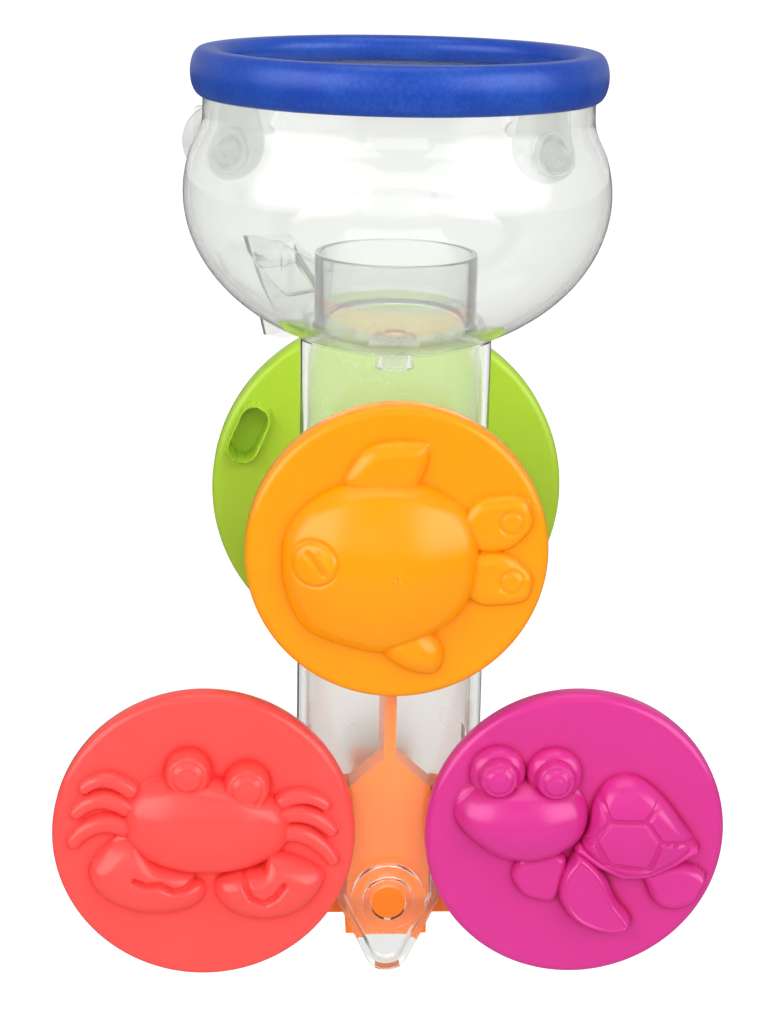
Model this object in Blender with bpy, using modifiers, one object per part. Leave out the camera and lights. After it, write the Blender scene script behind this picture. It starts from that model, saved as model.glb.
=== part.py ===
"""Wall-hung water wheel toy: a clear bowl feeds a clear tower and four spinning wheels.

Sizes are in millimetres and the helpers turn them into metres. X runs to the right, Z runs up and
the wall is the plane Y = 0, with the viewer on the -Y side. Depths are measured from the axis of
the bowl and tower, positive towards the wall. Heights are measured from the bottom suction cup.
"""

from math import acos, atan2, cos, pi, radians, sin, sqrt

import bmesh
import bpy
from mathutils import Matrix

for old_object in list(bpy.data.objects):
    bpy.data.objects.remove(old_object, do_unlink=True)

MM = 0.001
FIT = 0.3            # clearance between pieces that touch
EMBED = 1.1          # how far a joined form reaches into the piece it grows from
ROUND_STEPS = 32     # facets round the large turned pieces
SMALL_STEPS = 16     # facets round pins, knobs and relief forms
FACING = (pi / 2, 0.0, 0.0)   # turns a piece's own +Z towards the viewer

# Bowl and rim
BOWL_RADIUS = 64.4
BOWL_HALF_HEIGHT = 48.7
BOWL_MIDDLE = 205.0
BOWL_WALL = 2.2
BOWL_TO_WALL = 1.6
NECK_STEP = 5.9
NECK_RISE = 41.0
NOZZLE_BORE = 4.0
NOZZLE_WALL = 2.0
NOZZLE_LENGTH = 5.3
DAM_RADIUS = 24.8
DAM_WALL = 1.8
DAM_HEIGHT = 30.1
bowl_bottom = BOWL_MIDDLE - BOWL_HALF_HEIGHT
wall_to_axis = BOWL_RADIUS + BOWL_TO_WALL
neck_radius = BOWL_RADIUS - NECK_STEP
neck_inside = neck_radius - BOWL_WALL
neck_top = BOWL_MIDDLE + NECK_RISE
nozzle_radius = NOZZLE_BORE + NOZZLE_WALL
nozzle_end = bowl_bottom - NOZZLE_LENGTH
dam_inside = DAM_RADIUS - DAM_WALL
dam_top = bowl_bottom + DAM_HEIGHT
RIM_HEIGHT = 14.0
RIM_THICKNESS = 3.4
RIM_LIP_DEPTH = 8.0

# Ears and suction cups
EAR_INSET = 9.2
EAR_RISE = 6.8
EAR_RADIUS = 8.0
EAR_LENGTH = 13.3
ear_offset = BOWL_RADIUS - EAR_INSET
ear_height = BOWL_MIDDLE + EAR_RISE
PLATE_THICKNESS = 3.0
CUP_RADIUS = 12.5
CUP_LIP = 1.3
CUP_HEIGHT = 16.7
CUP_STEM = 3.9
CUP_KNOB = 6.0
CUP_KNOB_HEIGHT = 3.5

# Spout
SPOUT_OFFSET = -33.0
SPOUT_DEPTH = 30.0
SPOUT_HEIGHT = 31.5
SPOUT_DROP = 1.5
spout_end = bowl_bottom - SPOUT_DROP
spout_top = spout_end + SPOUT_HEIGHT
SPOUT_TOP_HALF = (12.5, 9.0)
SPOUT_TAPER = 0.5
SPOUT_WALL = 1.6
SPOUT_TURN = radians(47.7)     # its sides lie along and across the bowl's radius
SPOUT_SLOPE = radians(41.0)
SPOUT_RIDGE = -35.0            # where the top edge begins to slope down

# Tower
TOWER_HALF_WIDTH = 28.8
TOWER_HALF_DEPTH = 22.0
TOWER_CORNER = 14.0
TOWER_WALL = 2.0
TOWER_BOTTOM = 1.5
WINDOW_HALF_DEPTH = 13.0
WINDOW_TOP = 30.0
TONGUE_HALF_WIDTH = 15.8
TONGUE_SHOULDER = -16.0
TONGUE_TIP = -40.0
TONGUE_TIP_RADIUS = 7.0
TONGUE_DEPTH = 8.0
TONGUE_PROUD = 0.6
TONGUE_LAP = 8.0
BOSS_HEIGHT = -14.7
BOSS_RADIUS = 11.6
BOSS_STEP_RADIUS = 8.1
BOSS_STEP = 2.0
AXLE_BOSS_RADIUS = 7.0
AXLE_BOSS_LENGTH = 4.0

# Base
PEG_RADIUS = 5.3
ROOF_TOP = 32.5
ROOF_DROP = 11.1
ROOF_DEPTH = 10.0
RIB_THICKNESS = 3.5
RIB_TO_ROTOR = 10.0
COLUMN_HALF_WIDTH = 12.8
COLUMN_TOP = 9.0
FACE_BOTTOM = -15.5
FLOOR_HALF_WIDTH = 20.5
FLOOR_BOTTOM = -4.0
FOOT_HALF_WIDTH = 22.0
FOOT_TOP = -17.0
FOOT_BOTTOM = -31.0
ARM_THICKNESS = 8.0
ARM_END_RADIUS = 9.0
ARM_ROOT_TOP = 12.0
ARM_ROOT_BOTTOM = -6.0
BRACKET_SIDE = 2.8
BRACKET_GAP = 7.2
BRACKET_HALF_HEIGHT = 6.0
SCREW_OFFSET = 16.0
SCREW_HEIGHT = 5.2
SCREW_RADIUS = 1.5
SCREW_HEAD = 3.0
SCREW_HEAD_HEIGHT = 2.0
SCREW_LENGTH = 12.0

# Wheels on the main axle
WHEEL_TO_BOWL = 2.6
AXLE_RADIUS = 3.0
WHEEL_FACE = 2.4
WHEEL_SKIRT = 2.2
WHEEL_ROUND = 2.8
HUB_RADIUS = 7.0
FISH_RADIUS = 45.0
FISH_DEPTH = -38.5
FISH_THICKNESS = 8.0
FISH_HUB_LENGTH = 9.0
GREEN_RADIUS = 56.8
GREEN_DEPTH = 31.0
GREEN_THICKNESS = 8.0
GREEN_HUB_FRONT = 4.0
GREEN_HUB_BACK = 10.0
CAP_RADIUS = 6.0
CAP_LENGTH = 5.5
CAP_BORE_DEPTH = 4.0
SCOOP_RING = 48.9
SCOOP_ANGLE = 157.0
SCOOP_COUNT = 2
SCOOP_LENGTH = 17.8
SCOOP_WIDTH = 8.4
SCOOP_WALL = 1.4
SCOOP_RISE = 4.0
SCOOP_SINK = 5.0
ROTOR_RADIUS = 22.0
ROTOR_HALF_LENGTH = 13.5
ROTOR_VANE = 2.0
ROTOR_BLADES = 3      # full-width blades, each making two vanes
bowl_share = sqrt(1 - (GREEN_DEPTH / BOWL_RADIUS) ** 2)
main_height = BOWL_MIDDLE - BOWL_HALF_HEIGHT * bowl_share - WHEEL_TO_BOWL - GREEN_RADIUS
rib_top = main_height - ROTOR_RADIUS - RIB_TO_ROTOR

# Lower wheels
LOWER_OFFSET = 57.2
LOWER_HEIGHT = 9.8
LOWER_RADIUS = 46.4
LOWER_DEPTH = -31.0
LOWER_THICKNESS = 6.0
COLLAR_WALL = 2.0
COLLAR_LENGTH = 4.6
PADDLE_RADIUS = 26.0
PADDLE_VANE = 1.8
PADDLE_BLADES = 4
PADDLE_CLEARANCE = 1.0
PADDLE_VANE_FRONT = -23.0
PADDLE_VANE_BACK = -3.0
PADDLE_HUB_FRONT = -26.0
PIN_RADIUS = 2.5
PIN_HEAD = 5.0
PIN_HEAD_HEIGHT = 2.3
RETAINER_RADIUS = 4.8
RETAINER_HEIGHT = 1.5
DRAWN_RADIUS = 42.3   # wheel radius at which the animal forms below are measured

toy = bpy.data.collections.new("water_wheel_toy")
cutters = bpy.data.collections.new("cutters")
bpy.context.scene.collection.children.link(toy)
bpy.context.scene.collection.children.link(cutters)


# Helpers

def material(name, colour, roughness, alpha=1.0, metallic=0.0):
    """A Principled material in a linear colour."""
    made = bpy.data.materials.new(name)
    made.use_nodes = True
    shader = made.node_tree.nodes["Principled BSDF"]
    shader.inputs["Base Color"].default_value = (*colour, 1.0)
    shader.inputs["Roughness"].default_value = roughness
    shader.inputs["Metallic"].default_value = metallic
    shader.inputs["Alpha"].default_value = alpha
    return made


def place(made, x, depth, height, turn=(0.0, 0.0, 0.0)):
    """Puts an object at a place measured from the tower's axis."""
    made.location = (x * MM, (depth - wall_to_axis) * MM, height * MM)
    made.rotation_euler = turn
    return made


def add_object(name, mesh):
    """Makes an object in the toy's collection."""
    made = bpy.data.objects.new(name, mesh)
    toy.objects.link(made)
    return made


def as_tool(made):
    """Moves an object to the cutters, where it is not drawn."""
    toy.objects.unlink(made)
    cutters.objects.link(made)
    made.hide_render = True
    made.display_type = "WIRE"
    return made


def combine(target, tool, operation):
    """Adds a Boolean of target and tool and puts the tool with the cutters."""
    step = target.modifiers.new(tool.name, "BOOLEAN")
    step.operation = operation
    step.solver = "EXACT"
    step.object = as_tool(tool)
    return target


def join(target, tool):
    """Makes the tool one body with the target."""
    return combine(target, tool, "UNION")


def cut(target, tool):
    """Takes the tool's shape out of the target."""
    return combine(target, tool, "DIFFERENCE")


def turned(name, profile, steps, closed=False):
    """Turns a profile of (radius, height) points round the object's Z axis.

    The outside runs from top to bottom. An open profile starts and ends on the axis.
    """
    mesh = bpy.data.meshes.new(name)
    points = [(radius * MM, 0.0, height * MM) for radius, height in profile]
    edges = [(i, i + 1) for i in range(len(points) - 1)]
    if closed:
        edges.append((len(points) - 1, 0))
    mesh.from_pydata(points, edges, [])
    made = add_object(name, mesh)
    screw = made.modifiers.new("turn", "SCREW")
    screw.axis = "Z"
    screw.steps = steps
    screw.render_steps = steps
    screw.use_merge_vertices = True
    screw.merge_threshold = 0.00001
    return made


def plate(name, outline, thickness):
    """A flat prism with the outline in its XY plane, half its thickness either side."""
    curve = bpy.data.curves.new(name, "CURVE")
    curve.dimensions = "2D"
    curve.fill_mode = "BOTH"
    curve.extrude = thickness / 2 * MM
    spline = curve.splines.new("POLY")
    spline.points.add(len(outline) - 1)
    for point, (x, y) in zip(spline.points, outline):
        point.co = (x * MM, y * MM, 0.0, 1.0)
    spline.use_cyclic_u = True
    drawn = bpy.data.objects.new(name + "_curve", curve)
    bpy.context.scene.collection.objects.link(drawn)
    bpy.context.view_layer.update()
    mesh = bpy.data.meshes.new_from_object(drawn.evaluated_get(bpy.context.evaluated_depsgraph_get()))
    bpy.data.objects.remove(drawn, do_unlink=True)
    body = bmesh.new()
    body.from_mesh(mesh)
    bmesh.ops.remove_doubles(body, verts=body.verts, dist=0.000001)
    bmesh.ops.recalc_face_normals(body, faces=body.faces)
    body.to_mesh(mesh)
    body.free()
    mesh.name = name
    return add_object(name, mesh)


def block(name, size):
    """A box with its middle at the object's origin."""
    mesh = bpy.data.meshes.new(name)
    body = bmesh.new()
    bmesh.ops.create_cube(body, size=MM)
    bmesh.ops.scale(body, vec=size, verts=body.verts)
    body.to_mesh(mesh)
    body.free()
    return add_object(name, mesh)


def rod(name, radius, length, steps=SMALL_STEPS):
    """A plain cylinder along the object's Z axis, from 0 down to -length."""
    return turned(name, [(0.0, 0.0), (radius, 0.0), (radius, -length), (0.0, -length)], steps)


def arc(centre, radius, start, end, steps):
    """Points of an arc, with its angles in degrees."""
    angles = [radians(start + (end - start) * i / steps) for i in range(steps + 1)]
    return [(centre[0] + radius * cos(a), centre[1] + radius * sin(a)) for a in angles]


def bowl_arc(inset, from_radius, to_radius, steps, start_above=False):
    """Profile points on the bowl's ellipse, inset from its outside."""
    wide = BOWL_RADIUS - inset
    tall = BOWL_HALF_HEIGHT - inset
    start = acos(from_radius / wide) * (1 if start_above else -1)
    end = -acos(to_radius / wide)
    angles = [start + (end - start) * i / steps for i in range(steps + 1)]
    return [(wide * cos(a), BOWL_MIDDLE + tall * sin(a)) for a in angles]


def bowl_form(name, inset):
    """A solid ellipsoid that follows the bowl, used to shape what meets it."""
    wide = BOWL_RADIUS - inset
    tall = BOWL_HALF_HEIGHT - inset
    rings = 20
    angles = [pi / 2 - pi * i / rings for i in range(rings + 1)]
    profile = [(max(wide * cos(a), 0.0), BOWL_MIDDLE + tall * sin(a)) for a in angles]
    return place(turned(name, profile, ROUND_STEPS), 0.0, 0.0, 0.0)


def tower_corner_points(inset, front):
    """Half of the tower's rounded section, from the left side to the right side."""
    side = -1.0 if front else 1.0
    radius = TOWER_CORNER - inset
    across = TOWER_HALF_WIDTH - TOWER_CORNER
    deep = TOWER_HALF_DEPTH - TOWER_CORNER
    left = arc((-across, deep), radius, 180, 90, 6)
    right = arc((across, deep), radius, 90, 0, 6)
    return [(x, side * y) for x, y in left + right]


# Materials

clear = material("clear_styrene", (0.86, 0.90, 0.88), 0.05, alpha=0.25)
soft_blue = material("soft_blue_rim", (0.033, 0.100, 0.434), 0.45)
soft_clear = material("clear_soft_vinyl", (0.88, 0.90, 0.90), 0.15, alpha=0.35)
orange_plastic = material("orange_plastic", (1.0, 0.290, 0.065), 0.35)
fish_plastic = material("yellow_orange_plastic", (0.965, 0.347, 0.010), 0.3)
green_plastic = material("lime_plastic", (0.445, 0.672, 0.021), 0.3)
crab_plastic = material("red_plastic", (0.930, 0.102, 0.093), 0.3)
turtle_plastic = material("magenta_plastic", (0.701, 0.040, 0.287), 0.3)
white_plastic = material("white_acetal", (0.80, 0.80, 0.78), 0.4)
steel = material("screw_steel", (0.55, 0.55, 0.56), 0.35, metallic=1.0)


# Bowl: one turned shell with neck, dam and nozzle, two flat ears joined on at the back

bowl_profile = [(neck_radius, neck_top)]
bowl_profile += bowl_arc(0.0, neck_radius, nozzle_radius, 11, start_above=True)
bowl_profile += [(nozzle_radius, nozzle_end), (NOZZLE_BORE, nozzle_end)]
bowl_profile += bowl_arc(BOWL_WALL, NOZZLE_BORE, dam_inside, 2)
bowl_profile += [(dam_inside, dam_top), (DAM_RADIUS, dam_top)]
bowl_profile += list(reversed(bowl_arc(BOWL_WALL, neck_inside, DAM_RADIUS, 9, start_above=True)))
bowl_profile += [(neck_inside, neck_top)]
bowl = place(turned("bowl", bowl_profile, ROUND_STEPS, closed=True), 0.0, 0.0, 0.0)

# The ears stand as far from the wall as the cups are high
ear_depth = wall_to_axis - CUP_HEIGHT - FIT - PLATE_THICKNESS / 2
ear_inner = BOWL_RADIUS * 0.45
ear_top = ear_height + EAR_LENGTH
for side, hand in ((-1, "left"), (1, "right")):
    outline = [(ear_inner, ear_top), (ear_offset + EAR_RADIUS, ear_top)]
    outline += arc((ear_offset, ear_height), EAR_RADIUS, 0, -180, 8)
    outline += [(ear_offset - EAR_RADIUS, ear_height + EAR_RADIUS / 2), (ear_inner, ear_height + EAR_RADIUS / 2)]
    ear = plate("ear_" + hand, [(side * x, z) for x, z in outline], PLATE_THICKNESS)
    place(ear, 0.0, ear_depth, 0.0, FACING)
    cut(ear, bowl_form("ear_root_" + hand, EMBED))
    stem_hole = rod("ear_hole_" + hand, CUP_STEM + FIT, 3 * PLATE_THICKNESS)
    cut(ear, place(stem_hole, side * ear_offset, ear_depth - 1.5 * PLATE_THICKNESS, ear_height, FACING))
    join(bowl, ear)
bowl.data.materials.append(clear)


# Side spout: a tapered clear box under a hole in the lower left of the bowl, which continues as a sloping collar
# inside the bowl

def spout_form(name, inset, extra_end):
    """A four-sided funnel the size of the spout, inset from its outside."""
    mesh = bpy.data.meshes.new(name)
    body = bmesh.new()
    bmesh.ops.create_cone(
        body, segments=4, cap_ends=True, radius1=SPOUT_TAPER * sqrt(2), radius2=sqrt(2), depth=1.0)
    bmesh.ops.rotate(body, verts=body.verts, matrix=Matrix.Rotation(pi / 4, 3, "Z"))
    size = (SPOUT_TOP_HALF[0] - inset, SPOUT_TOP_HALF[1] - inset, SPOUT_HEIGHT + extra_end)
    bmesh.ops.scale(body, vec=[MM * value for value in size], verts=body.verts)
    body.to_mesh(mesh)
    body.free()
    middle = (spout_top + spout_end) / 2
    return place(add_object(name, mesh), SPOUT_OFFSET, SPOUT_DEPTH, middle, (0.0, 0.0, SPOUT_TURN))


side_spout = spout_form("side_spout", 0.0, 0.0)
cut(side_spout, spout_form("spout_channel", SPOUT_WALL, 1.0))
cut(side_spout, bowl_form("spout_seat", -FIT))
collar = spout_form("spout_collar", 0.0, 0.0)
combine(collar, bowl_form("collar_room", BOWL_WALL / 2), "INTERSECT")
slope_side = 4 * SPOUT_TOP_HALF[0]
slope = block("collar_slope", (slope_side, slope_side, slope_side))
slope_x = SPOUT_RIDGE + slope_side / 2 * sin(SPOUT_SLOPE)
slope_height = spout_top + slope_side / 2 * cos(SPOUT_SLOPE)
cut(collar, place(slope, slope_x, SPOUT_DEPTH, slope_height, (0.0, SPOUT_SLOPE, 0.0)))
join(bowl, collar)
cut(bowl, spout_form("spout_hole", SPOUT_WALL, 4.0))
side_spout.data.materials.append(clear)


# Blue rim: a soft ring with a slot that takes the neck

slot_outside = neck_radius + FIT
slot_inside = neck_inside - FIT
rim_outside = slot_outside + RIM_THICKNESS
rim_inside = slot_inside - RIM_THICKNESS
rim_top = neck_top + FIT + RIM_THICKNESS * 0.4
rim_bottom = rim_top - RIM_HEIGHT
bulge_middle = rim_bottom + RIM_HEIGHT / 2
outer_bulge = [
    (slot_outside + RIM_THICKNESS * cos(a), bulge_middle + RIM_HEIGHT / 2 * sin(a))
    for a in [radians(80 - 160 * i / 8) for i in range(9)]]
lip_middle = rim_top - RIM_LIP_DEPTH / 2
inner_bulge = [
    (slot_inside - RIM_THICKNESS * cos(a), lip_middle + RIM_LIP_DEPTH / 2 * sin(a))
    for a in [radians(-80 + 160 * i / 6) for i in range(7)]]
rim_profile = outer_bulge + [(slot_outside, rim_bottom), (slot_outside, neck_top + FIT)]
rim_profile += [(slot_inside, neck_top + FIT), (slot_inside, rim_top - RIM_LIP_DEPTH)] + inner_bulge
bowl_rim = place(turned("bowl_rim", rim_profile, ROUND_STEPS, closed=True), 0.0, 0.0, 0.0)
bowl_rim.data.materials.append(soft_blue)


# Tower: two clear half shells that meet at the sides, shaped to the bowl above them

def tower_shell(name, front):
    """Half of the tower wall with its axle boss, open at the side windows."""
    side = -1.0 if front else 1.0
    outside = tower_corner_points(0.0, front)
    inside = tower_corner_points(TOWER_WALL, front)
    seam = side * FIT / 2
    outline = [(-TOWER_HALF_WIDTH, seam)] + outside + [(TOWER_HALF_WIDTH, seam)]
    outline += [(TOWER_HALF_WIDTH - TOWER_WALL, seam)] + inside[::-1] + [(TOWER_WALL - TOWER_HALF_WIDTH, seam)]
    top = BOWL_MIDDLE - BOWL_HALF_HEIGHT / 2
    shell = plate(name, outline, top - TOWER_BOTTOM)
    place(shell, 0.0, 0.0, (top + TOWER_BOTTOM) / 2)
    cut(shell, bowl_form(name + "_seat", -FIT))
    for hand in (-1, 1):
        window_height = 2 * (WINDOW_TOP - TOWER_BOTTOM)
        window = block(name + "_window", (4 * TOWER_WALL + TOWER_CORNER, 2 * WINDOW_HALF_DEPTH, window_height))
        cut(shell, place(window, hand * TOWER_HALF_WIDTH, 0.0, TOWER_BOTTOM))
    boss = rod(name + "_boss", AXLE_BOSS_RADIUS, AXLE_BOSS_LENGTH + EMBED)
    wall_face = side * TOWER_HALF_DEPTH
    boss_turn = FACING if front else (-pi / 2, 0.0, 0.0)
    join(shell, place(boss, 0.0, wall_face + side * AXLE_BOSS_LENGTH, main_height, boss_turn))
    return shell


def axle_hole(shell, name):
    """Opens a shell's boss for the main axle."""
    hole = rod(name, AXLE_RADIUS + FIT, 4 * TOWER_HALF_DEPTH)
    return cut(shell, place(hole, 0.0, -2 * TOWER_HALF_DEPTH, main_height, FACING))


def tongue_outline(inset, top):
    """The tongue's outline: straight sides up to the top, then a rounded V below."""
    half = TONGUE_HALF_WIDTH - inset
    tip_radius = TONGUE_TIP_RADIUS - inset
    tip_middle = TONGUE_TIP + TONGUE_TIP_RADIUS
    rise = TONGUE_SHOULDER - tip_middle
    reach = sqrt(half ** 2 + rise ** 2)
    lean = (acos(tip_radius / reach) - atan2(rise, half)) * 180 / pi
    tip = arc((0.0, tip_middle), tip_radius, -lean, -180 + lean, 8)
    return [(-half, TONGUE_SHOULDER), (-half, top), (half, top), (half, TONGUE_SHOULDER)] + tip


tower_front_shell = tower_shell("tower_front_shell", True)
tongue_front = -TOWER_HALF_DEPTH - TONGUE_PROUD
tongue_back = tongue_front + TONGUE_DEPTH
tongue_top = TOWER_BOTTOM + TONGUE_LAP
flange_top = TOWER_BOTTOM + EMBED
tongue = plate("tongue", tongue_outline(0.0, tongue_top), TONGUE_DEPTH)
place(tongue, 0.0, (tongue_front + tongue_back) / 2, 0.0, FACING)
pocket = plate("tongue_pocket", tongue_outline(TOWER_WALL, 2 * tongue_top), TONGUE_DEPTH)
cut(tongue, place(pocket, 0.0, (tongue_front + tongue_back) / 2 + TOWER_WALL, 0.0, FACING))
lap_back = TOWER_WALL / 2 - TOWER_HALF_DEPTH
above_flange = block("above_flange", (4 * TONGUE_HALF_WIDTH, 2 * TONGUE_DEPTH, 4 * TONGUE_LAP))
cut(tongue, place(above_flange, 0.0, lap_back + TONGUE_DEPTH, flange_top + 2 * TONGUE_LAP))
join(tower_front_shell, tongue)
for step, radius in ((1, BOSS_RADIUS), (2, BOSS_STEP_RADIUS)):
    ring = rod("boss_ring", radius, step * BOSS_STEP + EMBED, 24)
    join(tower_front_shell, place(ring, 0.0, tongue_front - step * BOSS_STEP, BOSS_HEIGHT, FACING))
peg_hole = rod("peg_hole", PEG_RADIUS + FIT, 2 * TONGUE_DEPTH)
cut(tower_front_shell, place(peg_hole, 0.0, tongue_front - TONGUE_DEPTH, BOSS_HEIGHT, FACING))
axle_hole(tower_front_shell, "front_axle_hole")
tower_front_shell.data.materials.append(clear)

tower_back_shell = tower_shell("tower_back_shell", False)
axle_hole(tower_back_shell, "back_axle_hole")
screw_seat = TOWER_HALF_DEPTH + FIT
for hand in (-1, 1):
    hole = rod("shell_screw_hole", SCREW_RADIUS + FIT, 3 * TOWER_WALL, 12)
    place(hole, hand * SCREW_OFFSET, TOWER_HALF_DEPTH - 2 * TOWER_WALL, SCREW_HEIGHT, FACING)
    cut(tower_back_shell, hole)
notch_half_width = BRACKET_GAP + BRACKET_SIDE + FIT
notch = block("bracket_notch", (2 * notch_half_width, 4 * TOWER_WALL, 2 * (BRACKET_HALF_HEIGHT + FIT)))
cut(tower_back_shell, place(notch, 0.0, TOWER_HALF_DEPTH, 0.0))
tower_back_shell.data.materials.append(clear)


# Base: a gabled face and a rib inside the tower, column, floor, foot, arms for the lower wheels, bracket and peg

core_inset = TOWER_WALL + FIT
core_outline = tower_corner_points(core_inset, True) + tower_corner_points(core_inset, False)[::-1]
column_back = TOWER_HALF_DEPTH - core_inset
column_front = tongue_back + FIT
roof_eave = ROOF_TOP - ROOF_DROP
face_outline = [
    (0.0, ROOF_TOP), (COLUMN_HALF_WIDTH, roof_eave), (COLUMN_HALF_WIDTH, FACE_BOTTOM),
    (-COLUMN_HALF_WIDTH, FACE_BOTTOM), (-COLUMN_HALF_WIDTH, roof_eave)]
splitter_base = plate("splitter_base", face_outline, ROOF_DEPTH)
place(splitter_base, 0.0, ROOF_DEPTH / 2 - column_back, 0.0, FACING)

column_height = COLUMN_TOP - FOOT_BOTTOM
column = block("column", (2 * COLUMN_HALF_WIDTH, column_back - column_front, column_height))
join(splitter_base, place(column, 0.0, (column_back + column_front) / 2, (COLUMN_TOP + FOOT_BOTTOM) / 2))
rib_bottom = COLUMN_TOP - EMBED
rib = block("rib", (RIB_THICKNESS, 2 * column_back, rib_top - rib_bottom))
join(splitter_base, place(rib, 0.0, 0.0, (rib_top + rib_bottom) / 2))

# The floor closes the back half of the tower and takes the screws
floor = block("floor", (2 * FLOOR_HALF_WIDTH, column_back, COLUMN_TOP - FLOOR_BOTTOM))
place(floor, 0.0, column_back / 2, (COLUMN_TOP + FLOOR_BOTTOM) / 2)
core = plate("tower_core", core_outline, 4 * COLUMN_TOP)
combine(floor, place(core, 0.0, 0.0, 0.0), "INTERSECT")
join(splitter_base, floor)
foot_outline = [
    (-COLUMN_HALF_WIDTH + EMBED, FOOT_TOP), (COLUMN_HALF_WIDTH - EMBED, FOOT_TOP),
    (FOOT_HALF_WIDTH, FOOT_BOTTOM), (-FOOT_HALF_WIDTH, FOOT_BOTTOM)]
foot = plate("foot", foot_outline, column_back)
join(splitter_base, place(foot, 0.0, column_back / 2, 0.0, FACING))

arm_lean = 15
for hand, word in ((-1, "left"), (1, "right")):
    end = arc((LOWER_OFFSET, LOWER_HEIGHT), ARM_END_RADIUS, 90 - arm_lean, -90 - arm_lean, 10)
    arm_outline = [(EMBED, ARM_ROOT_BOTTOM), (EMBED, ARM_ROOT_TOP)] + end
    arm = plate("arm_" + word, [(hand * x, z) for x, z in arm_outline], ARM_THICKNESS)
    join(splitter_base, place(arm, 0.0, ARM_THICKNESS / 2, 0.0, FACING))

bracket_front = column_back - EMBED
bracket_back = ear_depth + PLATE_THICKNESS / 2
bracket_length = bracket_back - bracket_front
for hand in (-1, 1):
    bracket = block("bracket_side", (BRACKET_SIDE, bracket_length, 2 * BRACKET_HALF_HEIGHT))
    bracket_middle = hand * (BRACKET_GAP + BRACKET_SIDE / 2)
    join(splitter_base, place(bracket, bracket_middle, (bracket_front + bracket_back) / 2, 0.0))
end_plate = block("bracket_end", (2 * (BRACKET_GAP + EMBED), PLATE_THICKNESS, 2 * BRACKET_HALF_HEIGHT))
join(splitter_base, place(end_plate, 0.0, ear_depth, 0.0))
stem_hole = rod("bracket_hole", CUP_STEM + FIT, 3 * PLATE_THICKNESS)
cut(splitter_base, place(stem_hole, 0.0, ear_depth - 1.5 * PLATE_THICKNESS, 0.0, FACING))

peg_front = tongue_front - 1.5 * BOSS_STEP
peg = rod("peg", PEG_RADIUS, column_front - peg_front + EMBED)
join(splitter_base, place(peg, 0.0, peg_front, BOSS_HEIGHT, FACING))
for hand in (-1, 1):
    pin_hole = rod("pin_hole", PIN_RADIUS + FIT, 3 * ARM_THICKNESS)
    cut(splitter_base, place(pin_hole, hand * LOWER_OFFSET, -ARM_THICKNESS, LOWER_HEIGHT, FACING))
    screw_hole = rod("base_screw_hole", SCREW_RADIUS + FIT, SCREW_LENGTH + TOWER_WALL, 12)
    screw_tip = screw_seat - SCREW_LENGTH - 2 * FIT
    cut(splitter_base, place(screw_hole, hand * SCREW_OFFSET, screw_tip, SCREW_HEIGHT, FACING))
splitter_base.data.materials.append(orange_plastic)


# Screws: heads behind the back shell, shanks in the base

for hand, word in ((-1, "left"), (1, "right")):
    head = SCREW_HEAD_HEIGHT
    screw_profile = [
        (0.0, SCREW_LENGTH), (SCREW_RADIUS * 0.5, SCREW_LENGTH), (SCREW_RADIUS, SCREW_LENGTH - SCREW_RADIUS),
        (SCREW_RADIUS, 0.0), (SCREW_HEAD, 0.0), (SCREW_HEAD * 0.9, -head * 0.6), (SCREW_HEAD * 0.5, -head),
        (0.0, -head)]
    screw = turned("base_screw_" + word, screw_profile, 12)
    place(screw, hand * SCREW_OFFSET, screw_seat, SCREW_HEIGHT, FACING)
    screw.data.materials.append(steel)


# Suction cups: soft turned cups whose knobs clip through the ears and the bracket

def suction_cup(name, x, height):
    """A cup with its sealing lip on the wall and its knob in front of the plate."""
    plate_front = CUP_HEIGHT + 2 * FIT + PLATE_THICKNESS
    knob_top = plate_front + CUP_KNOB_HEIGHT
    dome_top = CUP_HEIGHT * 0.62
    profile = [
        (0.0, knob_top), (CUP_KNOB * 0.6, knob_top - CUP_KNOB_HEIGHT * 0.08),
        (CUP_KNOB * 0.9, knob_top - CUP_KNOB_HEIGHT * 0.35), (CUP_KNOB, knob_top - CUP_KNOB_HEIGHT * 0.7),
        (CUP_KNOB * 0.9, plate_front), (CUP_STEM, plate_front), (CUP_STEM, CUP_HEIGHT),
        (CUP_KNOB, CUP_HEIGHT), (CUP_KNOB, dome_top), (CUP_RADIUS * 0.84, dome_top * 0.42),
        (CUP_RADIUS, dome_top * 0.1), (CUP_RADIUS, 0.0), (CUP_RADIUS - CUP_LIP, 0.0),
        (CUP_RADIUS * 0.7, dome_top * 0.22), (CUP_RADIUS * 0.4, dome_top * 0.38), (0.0, dome_top * 0.45)]
    cup = turned(name, profile, 20)
    place(cup, x, wall_to_axis, height, FACING)
    cup.data.materials.append(soft_clear)
    return cup


suction_cup("suction_cup_left", -ear_offset, ear_height)
suction_cup("suction_cup_right", ear_offset, ear_height)
suction_cup("suction_cup_bottom", 0.0, 0.0)


# Wheels: dished discs with rounded edges, their animal forms raised on the front

def wheel_edge(radius, thickness):
    """Profile of a wheel's front edge, skirt and inside, from the face inwards to the hub."""
    edge = [(radius - WHEEL_ROUND + x, z - WHEEL_ROUND) for x, z in arc((0.0, 0.0), WHEEL_ROUND, 90, 0, 3)]
    inner = radius - WHEEL_SKIRT
    return edge + [(radius, -thickness), (inner, -thickness), (inner, -WHEEL_FACE)]


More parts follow.
